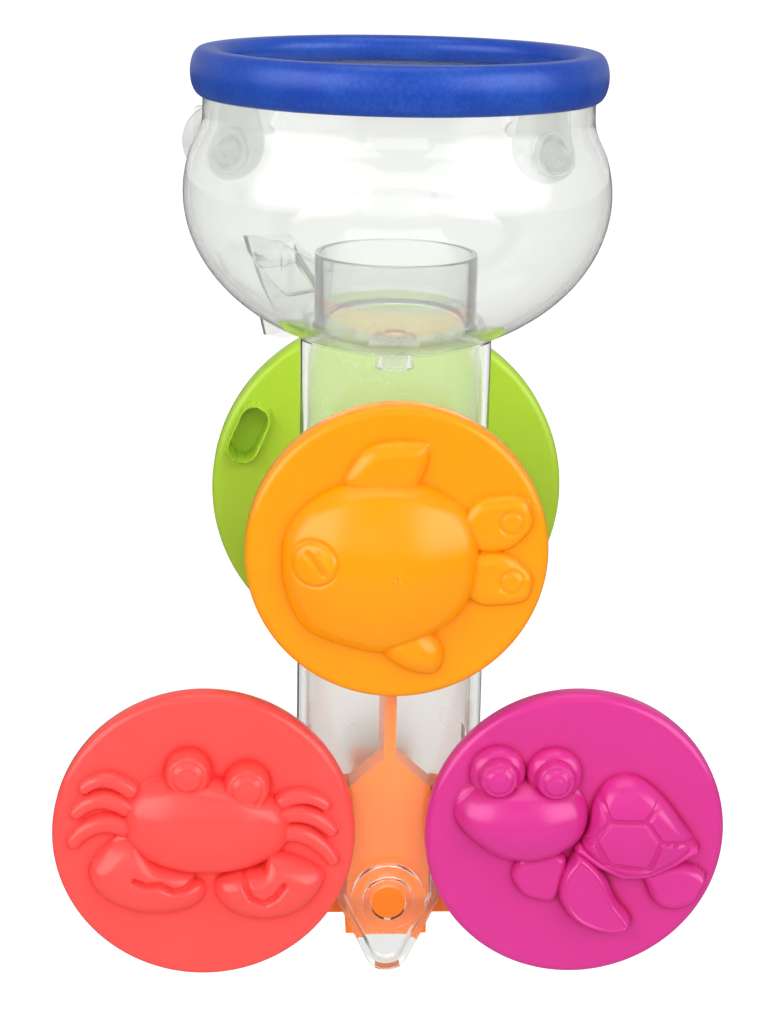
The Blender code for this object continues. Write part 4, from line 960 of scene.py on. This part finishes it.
def bulge(x, y, middle, half, power=0.5):
    """A dome (1 - q^2)^power, q being the distance from the middle in half widths: 0.5 round, 1 steeper."""
    squared = ((x - middle[0]) / half[0]) ** 2 + ((y - middle[1]) / half[1]) ** 2
    return np.clip(1 - squared, 0, 1) ** power


def groove(x, y, points, width, depth):
    """A soft groove along a line through points: depth * exp(-(distance/width)^2)."""
    points = np.asarray(points, float)
    return depth * np.exp(-(line_distance(x, y, points[:-1], points[1:]) / width) ** 2)


def ringed_eye(x, y, middle, radius, rise):
    """A round eye: a button with rounded sides, a ring groove and a small raised pupil."""
    away = np.hypot(x - middle[0], y - middle[1]) / radius
    button = rise * np.sqrt(np.clip(1 - away ** 6, 0, 1))
    ring = 0.9 * np.exp(-((away - 0.66) / 0.1) ** 2)
    return np.where(away < 1, button - ring + 0.5 * (1 - smooth_step(away, 0.12, 0.42)), 0)


def creases(relief, x, y, height):
    """How far points lie below the mean of their surroundings, 0 to 1: the mask for painted crease shade.

    The mean comes from a square grid of heights. Each round replaces a height by the mean of four heights a
    step away, so that six rounds reach about 2 mm. Between grid points it changes evenly along both sides.
    """
    step = 0.6
    reach = np.abs(x).max() + 4 * step
    line = np.arange(-reach, reach + step, step)
    mean = relief(*np.meshgrid(line, line))
    for _ in range(6):
        mean = sum(np.roll(mean, shift, axis) for axis in (0, 1) for shift in (-1, 1)) / 4
    column, row = (x + reach) / step, (y + reach) / step
    left, low = column.astype(int), row.astype(int)
    right_share, high_share = column - left, row - low
    lower = mean[low, left] * (1 - right_share) + mean[low, left + 1] * right_share
    upper = mean[low + 1, left] * (1 - right_share) + mean[low + 1, left + 1] * right_share
    return np.clip((lower * (1 - high_share) + upper * high_share - height) / 1.2, 0, 1)


def animal_disc(name, radius, thickness, face_depth, middle, relief, back_corners):
    """A wheel whose front face is a polar height field, closed by its edge, skirt, face back and hub."""
    sectors = 440
    rings = np.linspace(0, radius - WHEEL_ROUND, 150)
    x, y = disc(rings, sectors)
    fade = 1 - smooth_step(rings, radius - WHEEL_ROUND - 1.6, radius - WHEEL_ROUND - 0.2)[:, None]
    height = relief(x, y) * fade
    front = at(middle[0] + x, face_depth - height, middle[1] + y)
    back = rounded(wheel_edge(radius, thickness) + back_corners, closed=False)
    back_grid = facing(np.column_stack([back[:, 0], face_depth - back[:, 1]]), *middle, sectors)
    # The crease values mark where the material paints shade at the foot of raised forms
    crease = np.vstack([creases(relief, x, y, height), np.zeros(back_grid.shape[:2])])
    return piece(name, sheet(np.vstack([front, back_grid]), wrap_columns=True), crease=crease)


def fish_relief(x, y):
    """Heights of the fish above the disc's face."""
    body = pillow(x, y, [
        (-34, 0), (-32, 9), (-26, 16.5), (-17, 21.5), (-6, 23.5), (5, 22.5), (14, 18.5), (20.5, 13),
        (23.5, 6), (24, -2), (22.5, -11), (18, -18.5), (11, -24), (2, -28.5), (-6, -30), (-18, -26.8),
        (-27, -22.5), (-32.5, -12)], 4.5)
    body = body * (2.2 + 11.0 * bulge(x, y, (-5.0, -3.0), (31.0, 28.0), 0.9))
    back_fin = pillow(x, y, [
        (-16, 21), (-13, 29), (-8.5, 33.4), (-3, 34.7), (3, 35), (8.2, 33.8), (8.4, 28.5), (6.5, 23), (4, 18),
        (-6, 16)], 4.6) * (2.0 + 1.9 * bulge(x, y, (-3, 26), (14, 11)))
    upper_tail = pillow(x, y, [
        (19, 10), (22.5, 16.5), (28, 18.4), (34.5, 18.6), (38.9, 16.2), (40, 10.5), (36.8, 5.2), (31.5, 1.7),
        (23, 2)], 4.6) * 3.1
    lower_tail = pillow(x, y, [
        (22, 0), (31, 1.2), (37, -2.6), (40.2, -7.2), (38.4, -13.6), (31, -15.2), (24, -14.8),
        (20, -10)], 4.6) * 3.1
    belly_fin = pillow(x, y, [
        (-4, -28), (-1.2, -23), (6, -21), (12.4, -25.6), (14.2, -31.8), (11.4, -36.6), (4.4, -35.6),
        (-2, -32)], 6.0) * (3.6 + 2.4 * bulge(x, y, (6, -29), (10, 9)))
    curls = [np.hypot(x - 33.4, y - 10.6), np.hypot(x - 33.8, y + 7.6)]
    curl = sum(0.55 * np.exp(-((away - 3.4) / 0.7) ** 2) + 0.4 * np.exp(-(away / 0.9) ** 2) for away in curls)
    forms = np.maximum.reduce([body, back_fin, upper_tail - curl, lower_tail - curl, belly_fin])
    eye_away = np.hypot(x + 24.6, y + 0.2) / 6.6
    eye = 0.7 * np.sqrt(np.clip(1 - eye_away ** 4, 0, 1)) - 0.5 * np.exp(-((eye_away - 1.0) / 0.11) ** 2)
    slash = groove(x, y, [(-26.4, 2.8), (-22.2, -3.0)], 0.7, 0.7)
    slash = slash - groove(x, y, [(-24.2, 3.4), (-20.2, -1.6)], 0.8, 0.5)
    angle = np.arctan2(y + 3, x + 0.5)
    gate_mark = 0.28 * np.exp(-(np.hypot(x + 0.5, y + 3) / 3.0) ** 2) * (1 + np.cos(7 * angle)) / 2
    return np.maximum(forms + eye - slash * (eye_away < 0.9) + gate_mark, 0)


blind_hub = [
    (HUB_RADIUS, -WHEEL_FACE, 0.8), (HUB_RADIUS, -FISH_HUB_BACK, 0.5), (AXLE_HOLE, -FISH_HUB_BACK, 0.3),
    (AXLE_HOLE, -WHEEL_FACE, 0.2), (0.0, -WHEEL_FACE, 0)]
fish_wheel = animal_disc(
    "orange_fish_wheel", FISH_RADIUS, FISH_THICKNESS, FISH_DEPTH, (0.0, AXLE_HEIGHT), fish_relief, blind_hub)
dress(fish_wheel, fish_plastic, "main_wheel", "fish_plastic", "fish_wheel")


# Crab wheel
# The lower left disc in coral red polypropylene, with a crab: an oval shell, two ringed eyes, three bent legs
# a side and two crescent claws. An eight-vaned hub of the same plastic is pressed into a collar behind it.

LOWER_RADIUS = 46.4
LOWER_DEPTH = -31.0
LOWER_THICKNESS = 6.0
PADDLE_RADIUS = 26.0
PADDLE_ENDS = (-26.0, -1.0)
VANE_ENDS = (-23.0, -3.0)
COLLAR_RADII = (9.3, 7.3)
COLLAR_BACK = 7.0

coral_plastic = moulded("coral_moulded_polypropylene", "#ff5753", "#ff504c", 0.24, 0.2)


def bent_limb(x, y, start, bend, end, width, rise):
    """A limb along the curve (1-t)^2 A + 2t(1-t) B + t^2 C, round across and a little narrower at its tip."""
    t = np.linspace(0, 1, 22)[:, None]
    path = (1 - t) ** 2 * np.array(start) + 2 * t * (1 - t) * np.array(bend) + t ** 2 * np.array(end)
    radius = width * (1 - 0.3 * t[:, 0] ** 2)
    gap = np.hypot(x[..., None] - path[:, 0], y[..., None] - path[:, 1]) / radius
    return (rise * radius / width * np.sqrt(np.clip(1 - gap ** 2, 0, 1))).max(axis=-1)


def crab_relief(x, y):
    """Heights of the crab above the disc's face."""
    shell = pillow(x, y, [
        (-24, 5), (-23, 13), (-17, 19), (-7, 21.5), (4, 20), (14, 17), (22, 13), (26.5, 6.5), (25.5, -1.5),
        (18, -8), (7, -11), (-5, -11), (-16, -8), (-22.5, -2)], 4.5)
    shell = shell * (2.0 + 9.0 * bulge(x, y, (1, 5), (27.0, 17.5), 0.75))
    left_claw = pillow(x, y, [
        (-19.5, 4), (-25, 2.5), (-32, -4.5), (-35, -10.8), (-31, -18.5), (-20, -23.7), (-8, -23.9),
        (-1, -20.8), (0.6, -15.6), (-1.8, -12.8), (-3, -10), (-6, -8.8), (-13.5, -6.6), (-17, -2.4)], 5.4)
    left_claw = left_claw * (2.6 + 5.4 * bulge(x, y, (-18, -13), (20, 14), 0.8))
    right_claw = pillow(x, y, [
        (19, -3), (25, -4.5), (33, -8), (37.2, -12.2), (34, -19.2), (28, -24.3), (18.6, -26.4),
        (9.3, -24.3), (4.2, -19.2), (3.6, -14), (7.2, -10.9), (12, -9.4), (17.5, -8.5)], 5.4)
    right_claw = right_claw * (2.6 + 5.4 * bulge(x, y, (20, -16), (19, 12.5), 0.8))
    legs = [
        bent_limb(x, y, (-22, 16), (-30, 22.5), (-36, 16.5), 2.8, 3.3),
        bent_limb(x, y, (-23.5, 10.5), (-32, 16), (-38.5, 8.5), 3.1, 3.5),
        bent_limb(x, y, (-24, 4), (-33, 8), (-39.5, -1), 3.3, 3.5),
        bent_limb(x, y, (24, 12.5), (31, 16), (37, 11), 2.8, 3.3),
        bent_limb(x, y, (25, 8), (33, 9.5), (39, 2.5), 3.0, 3.4),
        bent_limb(x, y, (25, 2), (33, 3), (39.5, -7), 3.1, 3.4)]
    eyes = [ringed_eye(x, y, (-4.6, 22.3), 7.1, 7.6), ringed_eye(x, y, (13.2, 18), 7.1, 7.4)]
    left_jaw = [(-20.6, -11.2), (-17, -12.6), (-13, -12.4), (-9, -14.8), (-5.5, -14.6), (-1.5, -12.4)]
    right_jaw = [(11.8, -8.8), (13, -13.5), (15, -17), (18.6, -18.6), (22, -16.4), (24.6, -13)]
    jaws = groove(x, y, left_jaw, 1.0, 2.2) + groove(x, y, right_jaw, 1.0, 2.0)
    jaws = jaws + groove(x, y, [(18.8, -3), (18.4, -9)], 0.7, 1.4)
    claws = np.maximum(left_claw, right_claw)
    claws = claws - np.minimum(jaws, claws)
    return np.maximum.reduce([shell, claws, *legs, *eyes])


collar = [
    (COLLAR_RADII[0], -WHEEL_FACE, 0.6), (COLLAR_RADII[0], -COLLAR_BACK, 0.4),
    (COLLAR_RADII[1], -COLLAR_BACK, 0.4), (COLLAR_RADII[1], -WHEEL_FACE, 0.2), (0.0, -WHEEL_FACE, 0)]
bare_hub = HUB_RADIUS + 0.05
paddle_stations = [
    (PADDLE_ENDS[0], bare_hub), (VANE_ENDS[0], bare_hub), (VANE_ENDS[0], PADDLE_RADIUS),
    (VANE_ENDS[1], PADDLE_RADIUS), (VANE_ENDS[1], bare_hub), (PADDLE_ENDS[1], bare_hub)]


def lower_wheel(animal, hand, relief, plastic):
    """A lower disc with its relief, and the vaned hub behind it."""
    middle = (hand * LOWER_OFFSET, LOWER_HEIGHT)
    made = animal_disc(animal + "_disc", LOWER_RADIUS, LOWER_THICKNESS, LOWER_DEPTH, middle, relief, collar)
    dress(made, plastic, animal + "_wheel", animal + "_plastic", animal + "_wheel")
    paddle = piece(animal + "_vaned_hub", vane_wheel(8, 1.8, PIN_HOLE, *middle, paddle_stations))
    dress(paddle, plastic, animal + "_wheel", animal + "_plastic", animal + "_paddle")


lower_wheel("crab", -1, crab_relief, coral_plastic)


# Turtle wheel
# The lower right disc in magenta polypropylene, with a turtle: a big smooth head with two ringed eyes, a
# shell of raised plates with a rim along its lower edge, and three leaf-shaped flippers.

magenta_plastic = moulded("magenta_moulded_polypropylene", "#dd3695", "#d2308e", 0.24, 0.2, 0.8)


def turtle_relief(x, y):
    """Heights of the turtle above the disc's face."""
    head = pillow(x, y, [
        (-37.8, 9), (-36, 15), (-30, 18.5), (-20, 19.5), (-9, 19), (-1, 17), (3, 11.5), (3.6, 5), (1, -1),
        (-5, -5.4), (-14, -7.8), (-23, -6.2), (-31, -1), (-36, 4)], 5.0)
    head = head * (2.0 + 9.2 * bulge(x, y, (-17, 5.5), (21.5, 14.5), 0.75))
    shell = pillow(x, y, [
        (1.5, -2.6), (3.5, 4), (5, 12), (8.5, 18.2), (14, 20.6), (20, 19.2), (27, 13), (33, 5),
        (37.3, -1.5), (37, -4.4), (30.5, -8.8), (22.5, -12.4), (14.5, -12.8), (7.5, -8.8)], 4.0)
    shell = shell * (2.4 + 6.0 * bulge(x, y, (18, 3), (21, 19), 0.8))
    plates = [
        [(5, 1.6), (9.6, 7.8), (20.6, 7.8), (25.6, 0.9), (22.4, -8.6), (9.5, -6.6), (5, 1.6)],
        [(9.6, 7.8), (6, 16)], [(20.6, 7.8), (24.6, 13.6)], [(25.6, 0.9), (36.8, -0.8)], [(5, 1.6), (3, 0)]]
    seams = [line_distance(x, y, np.array(line[:-1]), np.array(line[1:])) for line in plates]
    on_seam = 1 - smooth_step(np.minimum.reduce(seams), 0.55, 1.15)
    shell = shell - 0.8 * on_seam * smooth_step(shell, 0.5, 2.0)
    edge_line = np.array([(1, -2.8), (7.6, -7.9), (14.6, -11.4), (22.4, -11.1), (30.2, -7.4), (36.6, -3.2)])
    band_away = line_distance(x, y, edge_line[:-1], edge_line[1:]) / 1.7
    band = 5.0 * np.sqrt(np.clip(1 - band_away ** 2, 0, 1))
    near_flipper = pillow(x, y, [
        (0.5, -3.5), (5.5, -6.8), (9.8, -12.6), (13, -19.8), (17.8, -26.5), (17, -30), (12, -31.2),
        (5, -29.6), (-1.2, -25.6), (-5.2, -18), (-4.4, -11), (-1.5, -6)], 3.0) * 6.4
    hollow = 0.9 * smooth_step(near_flipper, 6.0, 6.4)
    far_flipper = pillow(x, y, [
        (-17, -5.5), (-10, -4), (-3, -6), (-3.5, -14), (-6, -20), (-10, -20.6), (-16, -18.4), (-19.4, -13),
        (-18.6, -8.6)], 2.8) * 4.0
    back_flipper = pillow(x, y, [
        (21.5, -11.5), (29, -8.4), (37, -9.4), (42, -13.6), (41.6, -16.6), (37.6, -21.4), (31, -23.8),
        (25.4, -21.4), (22.6, -16)], 3.2) * 4.2
    hoods = []
    eyes = []
    for middle in ((-24.8, 21.4), (-7.4, 20.8)):
        away = np.hypot(x - middle[0], y - middle[1])
        hoods.append(4.6 * np.sqrt(np.clip(1 - (away / 8.6) ** 4, 0, 1)))
        eyes.append(ringed_eye(x, y, middle, 6.4, 8.4))
    flippers = [near_flipper - hollow, far_flipper, back_flipper]
    return np.maximum.reduce([head, shell, band, *flippers, *hoods, *eyes])


lower_wheel("turtle", 1, turtle_relief, magenta_plastic)


# Floor, light and camera
# The toy is shown as it hangs, over a plain pale floor, in a white studio with two soft lamps and a weak fill
# in front and one lamp above. The camera stands a little to the left and above, as for the photograph.

STUDIO_REACH = 6000.0
STUDIO_FLOOR = -260.0
ROOM_LIGHT = 0.3
SEEN_WHITE = 1.06
MIRRORED_ROOM = 0.27        # added to the room light where it is mirrored
BOX_STRENGTH = 5.0
LAMP_AIM = (0.0, -0.08, 0.1)
CAMERA_DISTANCE = 645.0     # from the tower's axis, level
CAMERA_HEIGHT = 297.0
CAMERA_TURN = radians(3.0)
CAMERA_PITCH = radians(13.0)
CAMERA_ROLL = radians(1.1)
FOCAL_PIXELS = 2157.0
SHIFT_PIXELS = (-11, -136)
IMAGE_HEIGHT = 1024

floor_material, tree, output, place = new_material("pale_studio_floor")
ray = node(tree, "ShaderNodeLightPath", {}, {}).outputs
grain = node(tree, "ShaderNodeTexNoise", {}, {"Vector": place, "Scale": 1 / (60 * MM), "Detail": 2.0})
paint = node(tree, "ShaderNodeMix", {"data_type": "RGBA"}, {
    "Factor": grain.outputs["Fac"], 6: linear("#f4f4f2"), 7: linear("#f7f7f5")})
# Only straight and transmitted views see the white; reflections see a darker floor, which keeps colours deep
far = node(tree, "ShaderNodeVectorMath", {"operation": "LENGTH"}, {0: place}).outputs["Value"]
lift = node(tree, "ShaderNodeMapRange", {}, {
    "Value": far, "From Min": 0.25, "From Max": 1.6, "To Min": 0.5, "To Max": 0.9})
seen = node(tree, "ShaderNodeMath", {"operation": "MAXIMUM"}, {
    0: ray["Is Camera Ray"], 1: ray["Is Transmission Ray"]})
lift = node(tree, "ShaderNodeMath", {"operation": "MULTIPLY"}, {
    0: seen.outputs["Value"], 1: lift.outputs["Result"]})
glow = node(tree, "ShaderNodeEmission", {}, {"Strength": lift.outputs["Value"]})
shown = node(tree, "ShaderNodeMix", {"data_type": "RGBA"}, {
    "Factor": ray["Is Glossy Ray"], 6: paint.outputs[2], 7: linear("#acacaa")})
matt = node(tree, "ShaderNodeBsdfDiffuse", {}, {"Color": shown.outputs[2]})
both = node(tree, "ShaderNodeAddShader", {}, {0: matt.outputs["BSDF"], 1: glow.outputs["Emission"]})
tree.links.new(both.outputs["Shader"], output.inputs["Surface"])
floor_line = np.linspace(-STUDIO_REACH, STUDIO_REACH, 3)
floor_grid = at(floor_line[None, :], floor_line[:, None] + WALL_TO_AXIS, STUDIO_FLOOR)
floor = piece("studio_floor", sheet(floor_grid))
floor.data.materials.append(floor_material)

world = bpy.data.worlds.new("white_studio")
world.use_nodes = True
bpy.context.scene.world = world
tree = world.node_tree
tree.nodes.clear()
ray = node(tree, "ShaderNodeLightPath", {}, {}).outputs
# White where it is seen straight or through clear plastic; dimmer as room light, so that lamps shape forms
seen = node(tree, "ShaderNodeMath", {"operation": "MAXIMUM"}, {
    0: ray["Is Camera Ray"], 1: ray["Is Transmission Ray"]})
strength = node(tree, "ShaderNodeMapRange", {}, {
    "Value": seen.outputs["Value"], "To Min": ROOM_LIGHT, "To Max": SEEN_WHITE})
# Two soft boxes that only reflections see, with feathered edges, left and right of the toy alike
heading = node(tree, "ShaderNodeTexCoord", {}, {}).outputs["Generated"]
way = node(tree, "ShaderNodeSeparateXYZ", {}, {0: heading}).outputs
aside = node(tree, "ShaderNodeMath", {"operation": "ABSOLUTE"}, {0: way["X"]})
ahead = node(tree, "ShaderNodeMath", {"operation": "MULTIPLY"}, {0: way["Y"], 1: -1.0})
turned = node(tree, "ShaderNodeMath", {"operation": "ARCTAN2"}, {
    0: aside.outputs["Value"], 1: ahead.outputs["Value"]})
mirrored = node(tree, "ShaderNodeMath", {"operation": "SUBTRACT", "use_clamp": True}, {
    0: ray["Is Glossy Ray"], 1: seen.outputs["Value"]})
box_light = mirrored
box_edges = (
    (turned.outputs["Value"], radians(22), radians(38)), (turned.outputs["Value"], radians(92), radians(76)),
    (way["Z"], sin(radians(-8)), sin(radians(8))), (way["Z"], sin(radians(41)), sin(radians(30))))
for value, dark, bright in box_edges:
    edge = node(tree, "ShaderNodeMapRange", {"interpolation_type": "SMOOTHSTEP"}, {
        "Value": value, "From Min": dark, "From Max": bright})
    box_light = node(tree, "ShaderNodeMath", {"operation": "MULTIPLY", "use_clamp": True}, {
        0: box_light.outputs["Value"], 1: edge.outputs["Result"]})
strength = node(tree, "ShaderNodeMath", {"operation": "MULTIPLY_ADD"}, {
    0: box_light.outputs["Value"], 1: BOX_STRENGTH, 2: strength.outputs["Result"]})
strength = node(tree, "ShaderNodeMath", {"operation": "MULTIPLY_ADD"}, {
    0: mirrored.outputs["Value"], 1: MIRRORED_ROOM, 2: strength.outputs["Value"]})
sky = node(tree, "ShaderNodeBackground", {}, {
    "Color": (1.0, 1.0, 1.0, 1.0), "Strength": strength.outputs["Value"]})
output = node(tree, "ShaderNodeOutputWorld", {}, {"Surface": sky.outputs["Background"]})


def soft_lamp(name, place, aim, size, power, mirrored):
    """A rectangular lamp in metres, turned to face a point, which shiny surfaces mirror or do not."""
    light = bpy.data.lights.new(name, "AREA")
    light.shape = "RECTANGLE"
    light.size, light.size_y = size
    light.energy = power
    lamp = bpy.data.objects.new(name, light)
    bpy.context.scene.collection.objects.link(lamp)
    lamp.location = place
    lamp.visible_glossy = mirrored
    way = np.array(aim) - np.array(place)
    lamp.rotation_euler = (acos(-way[2] / np.linalg.norm(way)), 0.0, atan2(-way[0], way[1]))


soft_lamp("left_softbox", (-0.8, -1.0, 0.75), LAMP_AIM, (1.1, 0.8), 7.9, False)
soft_lamp("right_softbox", (0.8, -1.0, 0.75), LAMP_AIM, (1.1, 0.8), 7.9, False)
soft_lamp("top_softbox", (0.0, -0.25, 1.2), LAMP_AIM, (0.9, 0.7), 3.6, True)
soft_lamp("front_fill", (-0.08, -1.3, 0.42), LAMP_AIM, (0.8, 0.5), 2.9, False)

lens = bpy.data.cameras.new("photo_camera")
lens.sensor_width = 36.0
lens.lens = FOCAL_PIXELS / IMAGE_HEIGHT * lens.sensor_width
lens.shift_x = SHIFT_PIXELS[0] / IMAGE_HEIGHT
lens.shift_y = SHIFT_PIXELS[1] / IMAGE_HEIGHT
lens.clip_end = 50.0
camera = bpy.data.objects.new("photo_camera", lens)
bpy.context.scene.collection.objects.link(camera)
camera.location = (
    -CAMERA_DISTANCE * sin(CAMERA_TURN) * MM,
    -(WALL_TO_AXIS + CAMERA_DISTANCE * cos(CAMERA_TURN)) * MM,
    CAMERA_HEIGHT * MM)
aim = Matrix.Rotation(-CAMERA_TURN, 3, "Z") @ Matrix.Rotation(pi / 2 - CAMERA_PITCH, 3, "X")
camera.rotation_euler = (aim @ Matrix.Rotation(CAMERA_ROLL, 3, "Z")).to_euler()
bpy.context.scene.camera = camera
bpy.context.scene.view_settings.view_transform = "Standard"
